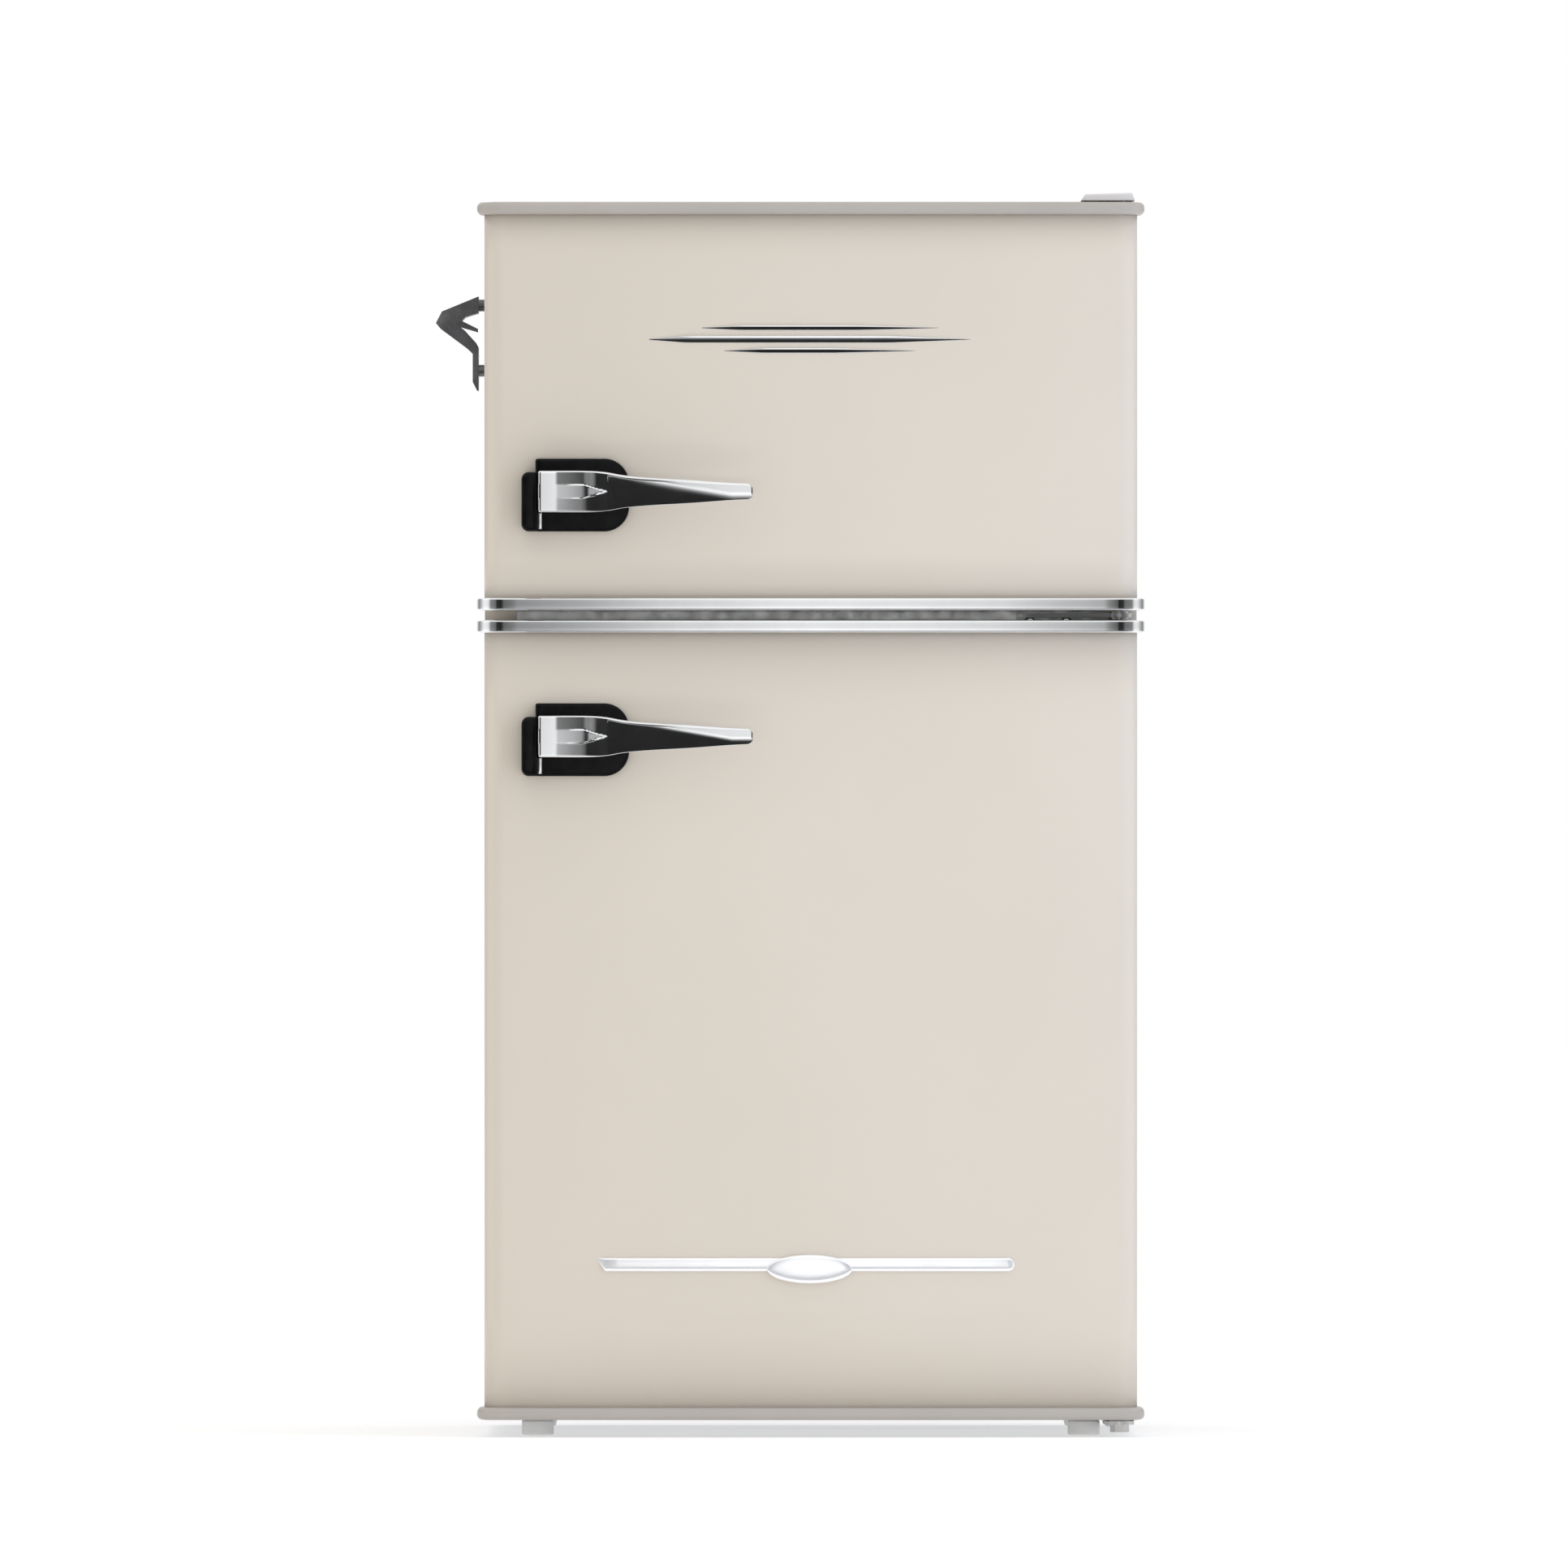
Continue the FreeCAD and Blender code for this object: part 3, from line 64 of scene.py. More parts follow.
SKIN_LOW, SKIN_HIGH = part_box("fridge_door_skin")
DOOR_HALF = SKIN_HIGH.x
DOOR_BACK = SKIN_HIGH.y
DOOR_EDGE = SKIN_LOW.y + CROWN


# ---------------------------------------------------------------- material nodes
class Nodes:
    """A new material's node tree, and short calls that add to it."""

    def __init__(self, name):
        self.material = bpy.data.materials.new(name)
        self.material.use_nodes = True
        self.tree = self.material.node_tree

    def node(self, kind, **settings):
        made = self.tree.nodes.new(kind)
        for name, value in settings.items():
            setattr(made, name, value)
        return made

    def link(self, out, into):
        self.tree.links.new(out, into)

    def place(self):
        """The place of each point on its object."""
        return self.node("ShaderNodeTexCoord").outputs["Object"]

    def ramp(self, amount, stops, interpolation="LINEAR"):
        """A colour for each amount, through stops of (amount, colour)."""
        made = self.node("ShaderNodeValToRGB")
        made.color_ramp.interpolation = interpolation
        elements = made.color_ramp.elements
        while len(elements) < len(stops):
            elements.new(0.5)
        for element, (position, color) in zip(elements, stops):
            element.position = position
            element.color = (*color, 1.0)
        self.link(amount, made.inputs["Fac"])
        return made.outputs["Color"]

    def coordinate(self, vector, axis):
        """One coordinate of a vector."""
        made = self.node("ShaderNodeSeparateXYZ")
        self.link(vector, made.inputs["Vector"])
        return made.outputs[axis]

    def between(self, value, low, high, start, end, **settings):
        """value's range start..end becomes low..high."""
        made = self.node("ShaderNodeMapRange", **settings)
        for socket, number in zip(("From Min", "From Max", "To Min", "To Max"), (start, end, low, high)):
            made.inputs[socket].default_value = number
        self.link(value, made.inputs["Value"])
        return made.outputs["Result"]


class Finish(Nodes):
    """A procedural surface: short calls for the few textures that every finish here is made from."""

    def __init__(self, name, color, roughness, metallic=0.0, **sockets):
        super().__init__(name)
        self.shader = self.tree.nodes["Principled BSDF"]
        self.color = color
        self.put("Base Color", (*color, 1.0))
        self.put("Roughness", roughness)
        self.put("Metallic", metallic)
        for socket, value in sockets.items():
            self.put(socket.replace("_", " "), value)
        self.where = self.place()
        self.bumped = None

    def put(self, socket, value):
        self.shader.inputs[socket].default_value = value

    def stretched(self, stretch):
        """The place, scaled along each axis: a share below 1 draws a texture out along that axis."""
        if stretch == (1, 1, 1):
            return self.where
        mapping = self.node("ShaderNodeMapping")
        mapping.inputs["Scale"].default_value = stretch
        self.link(self.where, mapping.inputs["Vector"])
        return mapping.outputs["Vector"]

    def noise(self, scale, detail, stretch=(1, 1, 1), rough=0.5):
        made = self.node("ShaderNodeTexNoise")
        made.inputs["Scale"].default_value = scale
        made.inputs["Detail"].default_value = detail
        made.inputs["Roughness"].default_value = rough
        self.link(self.stretched(stretch), made.inputs["Vector"])
        return made.outputs["Fac"]

    def cells(self, scale, output="Color"):
        """Crystal cells: a colour for each, or the distance from its middle."""
        made = self.node("ShaderNodeTexVoronoi")
        made.inputs["Scale"].default_value = scale
        self.link(self.where, made.inputs["Vector"])
        return made.outputs[output]

    def tint(self, amount, *colors, start=0.3, end=0.7):
        """The colour runs through these colours as amount goes from start to end."""
        stops = [(start + (end - start) * k / (len(colors) - 1), color) for k, color in enumerate(colors)]
        self.link(self.ramp(amount, stops), self.shader.inputs["Base Color"])

    def mottle(self, amount, shift):
        """Lighter and darker patches of the finish's own colour, by up to the share shift."""
        darker = tuple(c * (1 - shift) for c in self.color)
        lighter = tuple(min(1.0, c * (1 + shift)) for c in self.color)
        self.tint(amount, darker, lighter)

    def gloss(self, amount, low, high, start=0.3, end=0.7):
        """The roughness goes from low to high as amount goes from start to end."""
        self.link(self.between(amount, low, high, start, end), self.shader.inputs["Roughness"])

    def clearness(self, amount, low, high, start, end):
        """The opacity goes from low to high as amount goes from start to end."""
        self.link(self.between(amount, low, high, start, end), self.shader.inputs["Alpha"])

    def bump(self, height, depth, strength):
        """Relief of the given depth in metres, on top of any already there."""
        made = self.node("ShaderNodeBump")
        made.inputs["Distance"].default_value = depth
        made.inputs["Strength"].default_value = strength
        self.link(height, made.inputs["Height"])
        if self.bumped is not None:
            self.link(self.bumped, made.inputs["Normal"])
        self.bumped = made.outputs["Normal"]
        self.link(self.bumped, self.shader.inputs["Normal"])


def srgb(*levels):
    """A display colour, 0 to 255, as the linear colour that shaders take."""
    return tuple(((v / 255 + 0.055) / 1.055) ** 2.4 if v > 10 else v / 255 / 12.92 for v in levels)


# ---------------------------------------------------------------- finishes, one per slot of the record
def cream_enamel():
    """Powder-coated steel: fine orange peel under a clear gloss."""
    f = Finish("cream_enamel", srgb(199, 190, 177), 0.4,
               Specular_IOR_Level=0.35, Coat_Weight=0.15, Coat_Roughness=0.15)
    f.mottle(f.noise(5.0, 4.0), 0.018)
    f.gloss(f.noise(60.0, 5.0), 0.30, 0.40)
    f.bump(f.noise(420.0, 2.0), 0.00004, 0.3)
    f.bump(f.noise(7.0, 1.0), 0.0004, 0.05)
    return f.material


def cream_plastic():
    """Moulded end caps, coloured a shade darker than the panels: painted shade for their rounded lips, which
    catch less light.
    """
    f = Finish("cream_plastic", srgb(165, 159, 152), 0.4,
               Specular_IOR_Level=0.35, Coat_Weight=0.1, Coat_Roughness=0.2)
    f.mottle(f.noise(16.0, 4.0), 0.03)
    f.gloss(f.noise(90.0, 4.0), 0.30, 0.44)
    f.bump(f.noise(900.0, 2.0), 0.00003, 0.4)
    return f.material


def chrome_trim():
    """Bright plate with hairline polishing marks and faint finger smears."""
    f = Finish("chrome_trim", (0.86, 0.87, 0.88), 0.07, metallic=1.0)
    f.mottle(f.noise(70.0, 4.0), 0.02)
    f.gloss(f.noise(26.0, 6.0, rough=0.7), 0.035, 0.12)
    f.bump(f.noise(700.0, 3.0, stretch=(0.05, 1, 1)), 0.00001, 0.25)
    return f.material


def silver_trim():
    """Pale, satin-bright plate of the bar across the lower door."""
    f = Finish("silver_trim", (0.90, 0.90, 0.905), 0.16, metallic=0.5)
    f.mottle(f.noise(60.0, 4.0), 0.015)
    f.gloss(f.noise(40.0, 5.0, rough=0.7), 0.12, 0.20)
    f.bump(f.noise(700.0, 3.0, stretch=(0.05, 1, 1)), 0.00001, 0.25)
    return f.material


def dark_chrome():
    """Black nickel plate over a casting: soft waves, paler where hands rub it."""
    f = Finish("dark_chrome", (0.13, 0.13, 0.135), 0.2, metallic=1.0)
    f.tint(f.noise(40.0, 5.0), (0.085, 0.085, 0.09), (0.13, 0.13, 0.135), (0.21, 0.205, 0.2))
    f.gloss(f.noise(110.0, 5.0), 0.13, 0.30)
    f.bump(f.noise(260.0, 4.0), 0.00012, 0.35)
    return f.material


def black_plastic():
    """Piano-black moulding with polishing swirls."""
    f = Finish("black_plastic", (0.0035, 0.0035, 0.004), 0.2, Specular_IOR_Level=0.09)
    f.tint(f.noise(120.0, 5.0), (0.003, 0.003, 0.0035), (0.007, 0.007, 0.0075))
    f.gloss(f.noise(60.0, 6.0, rough=0.7), 0.12, 0.26)
    f.bump(f.noise(500.0, 3.0), 0.00001, 0.3)
    return f.material


def white_liner():
    """Vacuum-formed polystyrene: glossy, with the faint waves of a drawn sheet."""
    f = Finish("white_liner", srgb(236, 238, 238), 0.30)
    f.tint(f.noise(7.0, 3.0), srgb(234, 236, 236), srgb(238, 240, 240), start=0.1, end=0.9)
    f.gloss(f.noise(12.0, 2.0), 0.28, 0.34, 0.1, 0.9)
    f.bump(f.noise(900.0, 2.0), 0.00002, 0.3)
    return f.material


def clear_plastic():
    """Crystal polystyrene: see-through square on, more visible where it is seen along its surface."""
    f = Finish("clear_plastic", (0.80, 0.88, 0.91), 0.06)
    f.mottle(f.noise(12.0, 3.0), 0.02)
    f.gloss(f.noise(80.0, 4.0), 0.03, 0.10)
    f.bump(f.noise(30.0, 2.0), 0.0001, 0.12)
    edge_on = f.node("ShaderNodeLayerWeight")
    edge_on.inputs["Blend"].default_value = 0.45
    f.clearness(edge_on.outputs["Facing"], 0.16, 0.80, 0.1, 0.95)
    return f.material


def shelf_glass():
    """Float glass: nearly clear through its faces, green through its cut edges."""
    f = Finish("shelf_glass", (0.62, 0.86, 0.77), 0.02)
    upward = f.node("ShaderNodeMath", operation="ABSOLUTE")
    f.link(f.coordinate(f.node("ShaderNodeNewGeometry").outputs["Normal"], "Z"), upward.inputs[0])
    level = upward.outputs["Value"]
    f.tint(level, (0.16, 0.50, 0.38), (0.62, 0.84, 0.76), start=0.1, end=0.9)
    f.gloss(f.noise(35.0, 5.0), 0.01, 0.05)
    f.bump(f.noise(8.0, 1.0), 0.0001, 0.05)
    f.clearness(level, 0.85, 0.20, 0.1, 0.9)
    return f.material


def white_plastic():
    """Opaque white moulding with a slight sheen."""
    f = Finish("white_plastic", srgb(216, 215, 212), 0.38)
    f.mottle(f.noise(20.0, 4.0), 0.015)
    f.gloss(f.noise(120.0, 4.0), 0.32, 0.45)
    f.bump(f.noise(1500.0, 2.0), 0.00003, 0.4)
    return f.material


def gasket_rubber():
    """Soft vinyl, a little grubby in its folds."""
    f = Finish("gasket_rubber", srgb(206, 205, 200), 0.55)
    f.tint(f.noise(28.0, 5.0), srgb(192, 190, 184), srgb(212, 211, 207))
    f.gloss(f.noise(150.0, 4.0), 0.46, 0.64)
    f.bump(f.noise(900.0, 3.0), 0.00005, 0.4)
    return f.material


def foam():
    """Rigid polyurethane: yellow, with open cells."""
    f = Finish("foam", srgb(226, 205, 140), 0.9)
    f.tint(f.noise(30.0, 6.0), srgb(206, 182, 112), srgb(232, 214, 154))
    f.bump(f.cells(700.0, output="Distance"), 0.0004, 0.7)
    return f.material


def galvanised():
    """Zinc-coated sheet: flat crystal spangles of differing greys."""
    f = Finish("galvanised", (0.52, 0.54, 0.56), 0.4, metallic=1.0)
    spangle = f.cells(170.0)
    f.tint(spangle, (0.46, 0.48, 0.50), (0.54, 0.56, 0.58), (0.61, 0.63, 0.64), start=0.1, end=0.9)
    f.gloss(spangle, 0.34, 0.50, 0.1, 0.9)
    f.bump(f.noise(300.0, 3.0), 0.00003, 0.4)
    return f.material


def black_enamel():
    """Semi-gloss black stoving paint with a little settled dust."""
    f = Finish("black_enamel", (0.012, 0.012, 0.013), 0.32, Coat_Weight=0.2, Coat_Roughness=0.25)
    dust = f.noise(34.0, 6.0, rough=0.65)
    f.tint(dust, (0.009, 0.009, 0.010), (0.018, 0.018, 0.019), (0.034, 0.033, 0.031))
    f.gloss(f.noise(48.0, 5.0), 0.24, 0.46)
    f.bump(f.noise(500.0, 3.0), 0.00006, 0.4)
    return f.material


def plate_aluminium():
    """Bare rolled sheet whose grain runs up and down."""
    f = Finish("plate_aluminium", (0.78, 0.79, 0.8), 0.34, metallic=1.0)
    f.mottle(f.noise(90.0, 4.0, stretch=(1, 1, 0.04)), 0.06)
    f.gloss(f.noise(240.0, 3.0, stretch=(1, 1, 0.03)), 0.26, 0.44)
    f.bump(f.noise(600.0, 2.0, stretch=(1, 1, 0.03)), 0.00002, 0.5)
    return f.material


def copper():
    """Drawn copper, dulled and browned in places."""
    f = Finish("copper", (0.80, 0.42, 0.26), 0.3, metallic=1.0)
    f.tint(f.noise(55.0, 6.0), (0.46, 0.21, 0.12), (0.80, 0.42, 0.26), (0.90, 0.54, 0.36))
    f.gloss(f.noise(90.0, 4.0), 0.20, 0.46)
    f.bump(f.noise(800.0, 2.0), 0.00002, 0.4)
    return f.material


def zinc_steel():
    """Zinc-plated pressings, faintly yellowed."""
    f = Finish("zinc_steel", (0.6, 0.6, 0.595), 0.36, metallic=1.0)
    f.tint(f.noise(60.0, 5.0), (0.56, 0.56, 0.565), (0.60, 0.60, 0.595), (0.64, 0.63, 0.605))
    f.gloss(f.noise(130.0, 4.0), 0.30, 0.44)
    f.bump(f.noise(420.0, 3.0), 0.00004, 0.5)
    return f.material


def grey_plastic():
    """Pale grey moulding with a fine spark-eroded grain."""
    f = Finish("grey_plastic", srgb(206, 203, 201), 0.5)
    f.mottle(f.noise(26.0, 4.0), 0.03)
    f.gloss(f.noise(200.0, 3.0), 0.42, 0.58)
    f.bump(f.noise(1400.0, 2.0), 0.00008, 0.5)
    return f.material


def dark_plastic():
    """Black moulding with a fine grain."""
    f = Finish("dark_plastic", (0.018, 0.018, 0.019), 0.48)
    f.mottle(f.noise(40.0, 4.0), 0.15)
    f.gloss(f.noise(160.0, 3.0), 0.38, 0.60)
    f.bump(f.noise(1300.0, 2.0), 0.00008, 0.6)
    return f.material


def black_rubber():
    """Matt rubber, greyer in places."""
    f = Finish("black_rubber", (0.02, 0.02, 0.02), 0.7)
    f.tint(f.noise(60.0, 5.0), (0.014, 0.014, 0.014), (0.035, 0.034, 0.033))
    f.gloss(f.noise(180.0, 3.0), 0.58, 0.82)
    f.bump(f.noise(900.0, 3.0), 0.00008, 0.6)
    return f.material


def screw_steel():
    """Bright plated steel."""
    f = Finish("screw_steel", (0.62, 0.62, 0.63), 0.24, metallic=1.0)
    f.mottle(f.noise(300.0, 4.0), 0.08)
    f.gloss(f.noise(400.0, 4.0), 0.16, 0.36)
    f.bump(f.noise(1500.0, 2.0), 0.00002, 0.5)
    return f.material


FINISHES = {make.__name__: make() for make in (
    cream_enamel, cream_plastic, chrome_trim, silver_trim, dark_chrome, black_plastic, white_liner,
    clear_plastic, shelf_glass, white_plastic, gasket_rubber, foam, galvanised, black_enamel,
    plate_aluminium, copper, zinc_steel, grey_plastic, dark_plastic, black_rubber, screw_steel)}
SLOT_OF = {part["node"]: part["material_slot"] for part in frame["record"]["subparts"]}
BODY_OF = {node: body for body, nodes in frame["record"]["behaviour"]["bodies"].items() for node in nodes}
for name, node in NODES.items():
    for material_slot in node.material_slots:
        material_slot.material = FINISHES[SLOT_OF[name]]


# ---------------------------------------------------------------- mesh helpers
def stand_for(made, node):
    """The object rides with a CAD node's body, carries its slot, and replaces it."""
    bpy.context.scene.collection.objects.link(made)
    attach(made, BODY_OF[node])
    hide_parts(node)


def piece(name, verts, faces, node, smooth_angle=35.0):
    """A mesh that stands for a CAD node and takes its finish."""
    mesh = bpy.data.meshes.new(name)
    mesh.from_pydata(verts, [], faces)
    work = bmesh.new()
    work.from_mesh(mesh)
    bmesh.ops.remove_doubles(work, verts=work.verts, dist=1e-7)
    bmesh.ops.recalc_face_normals(work, faces=work.faces)
    work.to_mesh(mesh)
    work.free()
    mesh.shade_smooth()
    mesh.set_sharp_from_angle(angle=math.radians(smooth_angle))
    mesh.materials.append(FINISHES[SLOT_OF[node]])
    made = bpy.data.objects.new(name, mesh)
    stand_for(made, node)
    return made


def rings_to_mesh(rings, closed=True, ends=True):
    """Vertices and faces of a skin over rings of equal length.

    Closed joins each ring's last point to its first. Ends fills in the first and last rings.
    """
    count = len(rings[0])
    verts = [v for ring in rings for v in ring]
    faces = []
    for r in range(len(rings) - 1):
        for k in range(count if closed else count - 1):
            a, b = r * count + k, r * count + (k + 1) % count
            faces.append((a, b, b + count, a + count))
    if ends:
        faces.append(tuple(range(count - 1, -1, -1)))
        faces.append(tuple(range((len(rings) - 1) * count, len(rings) * count)))
    return verts, faces


def add_bevel(made, width, steps):
    """Rounds the sharp edges of an object over."""
    bevel = made.modifiers.new("rounding", "BEVEL")
    bevel.width = width
    bevel.segments = steps
    bevel.limit_method = "ANGLE"
    return bevel


def softened(node, width):
    """A copy of a CAD node's mesh with its sharp edges rounded over and its large faces shaded flat."""
    mesh = NODES[node].data.copy()
    mesh.name = node + "_rounded"
    work = bmesh.new()
    work.from_mesh(mesh)
    bmesh.ops.remove_doubles(work, verts=work.verts, dist=2e-6)
    bmesh.ops.dissolve_limit(work, angle_limit=math.radians(0.6), verts=work.verts, edges=work.edges)
    work.to_mesh(mesh)
    work.free()
    mesh.shade_smooth()
    made = bpy.data.objects.new(node + "_rounded", mesh)
    bevel = add_bevel(made, width, 3)
    bevel.angle_limit = math.radians(28.0)
    bevel.harden_normals = True
    shading = made.modifiers.new("shading", "WEIGHTED_NORMAL")
    shading.keep_sharp = True
    shading.weight = 90
    stand_for(made, node)


def mix(a, b, t):
    """From a to b as t goes from 0 to 1."""
    return a + (b - a) * t


def eased(keys, x):
    """A smooth curve through (x, value) keys, and level beyond them."""
    if x <= keys[0][0]:
        return keys[0][1]
    for k in range(len(keys) - 1):
        (x0, v0), (x1, v1) = keys[k], keys[k + 1]
        if x <= x1:
            before = keys[k - 1] if k else keys[k]
            after = keys[k + 2] if k + 2 < len(keys) else keys[k + 1]
            m0 = (v1 - before[1]) / (x1 - before[0]) * (x1 - x0)
            m1 = (after[1] - v0) / (after[0] - x0) * (x1 - x0)
            t = (x - x0) / (x1 - x0)
            return (v0 * (2 * t**3 - 3 * t**2 + 1) + m0 * (t**3 - 2 * t**2 + t)
                    + v1 * (3 * t**2 - 2 * t**3) + m1 * (t**3 - t**2))
    return keys[-1][1]


def arc(cx, cy, radius, start, end, steps):
    """Points on an arc, angles in degrees."""
    return [(cx + radius * math.cos(math.radians(mix(start, end, k / steps))),
             cy + radius * math.sin(math.radians(mix(start, end, k / steps)))) for k in range(steps + 1)]


# ---------------------------------------------------------------- door shape
def bow(grow):
    """Centre and radius of the arc that a door's front follows, grown outwards by grow."""
    half, crest = DOOR_HALF + grow, DOOR_EDGE - grow - CROWN
    radius = (half**2 + CROWN**2) / (2 * CROWN)
    return crest + radius, radius


def door_front(x, proud=0.0):
    """y of a door's painted front at x, or of a surface that stands proud of it."""
    centre, radius = bow(0.0)
    return centre - math.sqrt(radius**2 - x * x) - proud


def door_plan(grow):
    """Plan of a door, (x, y), from its back left corner round the front to its back right corner."""
    corner_steps, bow_steps = 14, 44
    half, corner = DOOR_HALF + grow, DOOR_CORNER + grow
    centre, radius = bow(grow)
    cx = half - corner
    cy = centre - math.sqrt((radius - corner)**2 - cx**2)
    tangent = math.degrees(math.atan2(cy - centre, cx))
    left = arc(-cx, cy, corner, 180, 180 - tangent, corner_steps)
    spread = 90 + tangent
    front = arc(0, centre, radius, -90 - spread, -90 + spread, bow_steps)[1:-1]
    right = [(-x, y) for x, y in reversed(left)]
    return [(-half, DOOR_BACK)] + left + front + right + [(half, DOOR_BACK)]


def door_panel(node):
    """Painted steel front, wrapped round the sides, with its edges folded in at the back."""
    low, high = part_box(node)
    fold, bend, bands = 11 * MM, 1.6 * MM, 8
    plan = door_plan(0.0)[1:-1]
    left = [(-DOOR_HALF + fold, DOOR_BACK)] + arc(-DOOR_HALF + bend, DOOR_BACK - bend, bend, 90, 180, 5)
    right = [(-x, y) for x, y in reversed(left)]
    outline = left + plan + right
    rings = [[(x, y, mix(low.z, high.z, k / bands)) for x, y in outline] for k in range(bands + 1)]
    verts, faces = rings_to_mesh(rings, closed=False, ends=False)
    made = piece(node + "_panel", verts, faces, node)
    inwards = made.modifiers.new("sheet", "SOLIDIFY")
    inwards.thickness = SHEET
    inwards.offset = -1


def end_cap(node):
    """Moulded cap or chrome trim: a full bullnose lip round the door's end."""
    low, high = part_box(node)
    at_top = "top" in node
    z0, z1 = (high.z - CAP_LIP, high.z) if at_top else (low.z, low.z + CAP_LIP)
    grow = high.x - DOOR_HALF
    rounding = TRIM_ROUND if SLOT_OF[node] == "chrome_trim" else CAP_ROUND
    steps = 8
    turns = [math.radians(90 * k / steps) for k in range(steps + 1)]
    profile = [(grow - rounding * (1 - math.sin(t)), z0 + rounding * (1 - math.cos(t))) for t in turns]
    profile += [(grow - rounding * (1 - math.cos(t)), z1 - rounding * (1 - math.sin(t))) for t in turns]
    rings = [[(x, y, z) for x, y in door_plan(g)] for g, z in profile]
    verts, faces = rings_to_mesh(rings)
    piece(node + "_lip", verts, faces, node)


def bellows_gasket(node):
    """Magnetic seal: a snap-in foot, one fold and a flat magnet pocket, mitred at its corners."""
    low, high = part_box(node)
    width, depth = 13 * MM, high.y - low.y
    section = [(0.1, 0.0), (0.9, 0.0), (1.0, 0.12), (0.78, 0.24), (0.66, 0.34), (0.80, 0.46),
               (0.97, 0.55), (1.0, 0.62), (1.0, 0.93), (0.97, 1.0), (0.03, 1.0), (0.0, 0.93),
               (0.0, 0.62), (0.03, 0.55), (0.20, 0.46), (0.34, 0.34), (0.22, 0.24), (0.0, 0.12)]
    rings = []
    for side, end in ((-1, -1), (1, -1), (1, 1), (-1, 1)):
        ring = []
        for across, out in section:
            inset = width * (1 - across)
            x = high.x - inset if side > 0 else low.x + inset
            z = high.z - inset if end > 0 else low.z + inset
            ring.append((x, low.y + depth * out, z))
        rings.append(ring)
    verts, faces = rings_to_mesh(rings + rings[:1], ends=False)
    add_bevel(piece(node + "_bellows", verts, faces, node, smooth_angle=50), 0.4 * MM, 2)


# ---------------------------------------------------------------- handles
FLANK_LEAD = 9.5 * MM      # how far a handle's flank stands out to the left of its plate
FLANK_TOP = 15.7 * MM      # the flank's top, above the plate's middle
PLATE_HALF = 24.9 * MM     # half the plate's height
PLATE_STAND = 11 * MM      # how far the plate's front stands before the door's edge

# A lever's shape by distance along it from its root's end, all in millimetres. Depths are measured back from
# its foremost point, the tip, and the crease between its root and its arm is at VALLEY.
VALLEY = 47.0
ROOT_DEPTHS = [(0, 4.8), (10, 5.0), (13, 5.17), (30, 6.95), (34, 7.55), (VALLEY, 10.2)]
ARM_DEPTHS = [(VALLEY, 10.2), (53, 7.8), (58, 6.1), (64, 4.2), (70, 2.8), (76, 1.8), (83, 1.05), (92, 0.6),
              (105, 0.3), (120, 0.15), (150, 0.1)]
BACK_DEPTHS = [(0, 28.0), (46, 28.0), (52, 24.0), (60, 17.5), (72, 13.0), (99, 7.5), (150, 2.4)]
HALF_HEIGHTS = [(0, 14.1), (34, 14.1), (46, 13.3), (58, 11.2), (74, 9.7), (104, 8.0), (132, 6.0), (150, 5.2)]
CORNER_RADII = [(0, 1.3), (34, 1.5), (60, 2.2), (104, 2.0), (132, 1.3), (150, 0.9)]
LOWER_RADII = [(0, 1.3), (30, 1.2), (46, 0.4), (150, 0.35)]
SPEAR_HALF, SPEAR_POINT = 4.6, 16    # half the spear's height, and the length of its point
ROOT_ROUND = 1.6 * MM      # rounding of the root's end
TIP_ROUND = 1.4 * MM       # rounding of the tip, seen from above
TIP_CORNER = 4.5 * MM      # rounding of the tip, seen from the front


def handle_plate(node):
    """Piano-black escutcheon: a plate rounded at its right, and a deeper flank at its left."""
    low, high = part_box(node)
    left, right = low.x + FLANK_LEAD, high.x
    mid = (low.z + high.z) / 2
    bottom, top = mid - PLATE_HALF, mid + PLATE_HALF
    big, small = 17 * MM, 1.5 * MM
    outline = (arc(left + small, top - small, small, 180, 90, 4)
               + arc(right - big, top - big, big, 90, 0, 16)
               + arc(right - big, bottom + big, big, 0, -90, 16)
               + arc(left + small, bottom + small, small, -90, -180, 4))
    plate = slab(outline, DOOR_EDGE - PLATE_STAND, 2.2 * MM)
    flank_left, flank_right, flank_top, r = low.x, left + 1.8 * MM, mid + FLANK_TOP, 5 * MM
    flank = (arc(flank_left + r, flank_top - r, r, 180, 90, 8)
             + [(flank_right, flank_top), (flank_right, bottom)]
             + arc(flank_left + r, bottom + r, r, -90, -180, 8))
    verts, faces = join_meshes([plate, slab(flank, low.y, 3.2 * MM)])
    piece(node + "_plate", verts, faces, node, smooth_angle=40)


def slab(outline, front, rounding, steps=6):
    """A plate on the door: its back follows the bow, and its front edge is rounded over."""
    middle = (sum(x for x, z in outline) / len(outline), sum(z for x, z in outline) / len(outline))
    width = max(x for x, z in outline) - min(x for x, z in outline)
    height = max(z for x, z in outline) - min(z for x, z in outline)
    behind_front = 0.3 * MM
    rings = [[(x, door_front(x) + behind_front, z) for x, z in outline]]
    for k in range(steps + 1):
        turn = math.radians(90 * k / steps)
        inset = rounding * (1 - math.cos(turn))
        sx, sz = 1 - 2 * inset / width, 1 - 2 * inset / height
        rings.append([(middle[0] + (x - middle[0]) * sx, front + rounding * (1 - math.sin(turn)),
                       middle[1] + (z - middle[1]) * sz) for x, z in outline])
    return rings_to_mesh(rings)


def join_meshes(parts):
    """One mesh of several."""
    verts, faces = [], []
    for part_verts, part_faces in parts:
        start = len(verts)
        verts += list(part_verts)
        faces += [tuple(start + k for k in face) for face in part_faces]
    return verts, faces


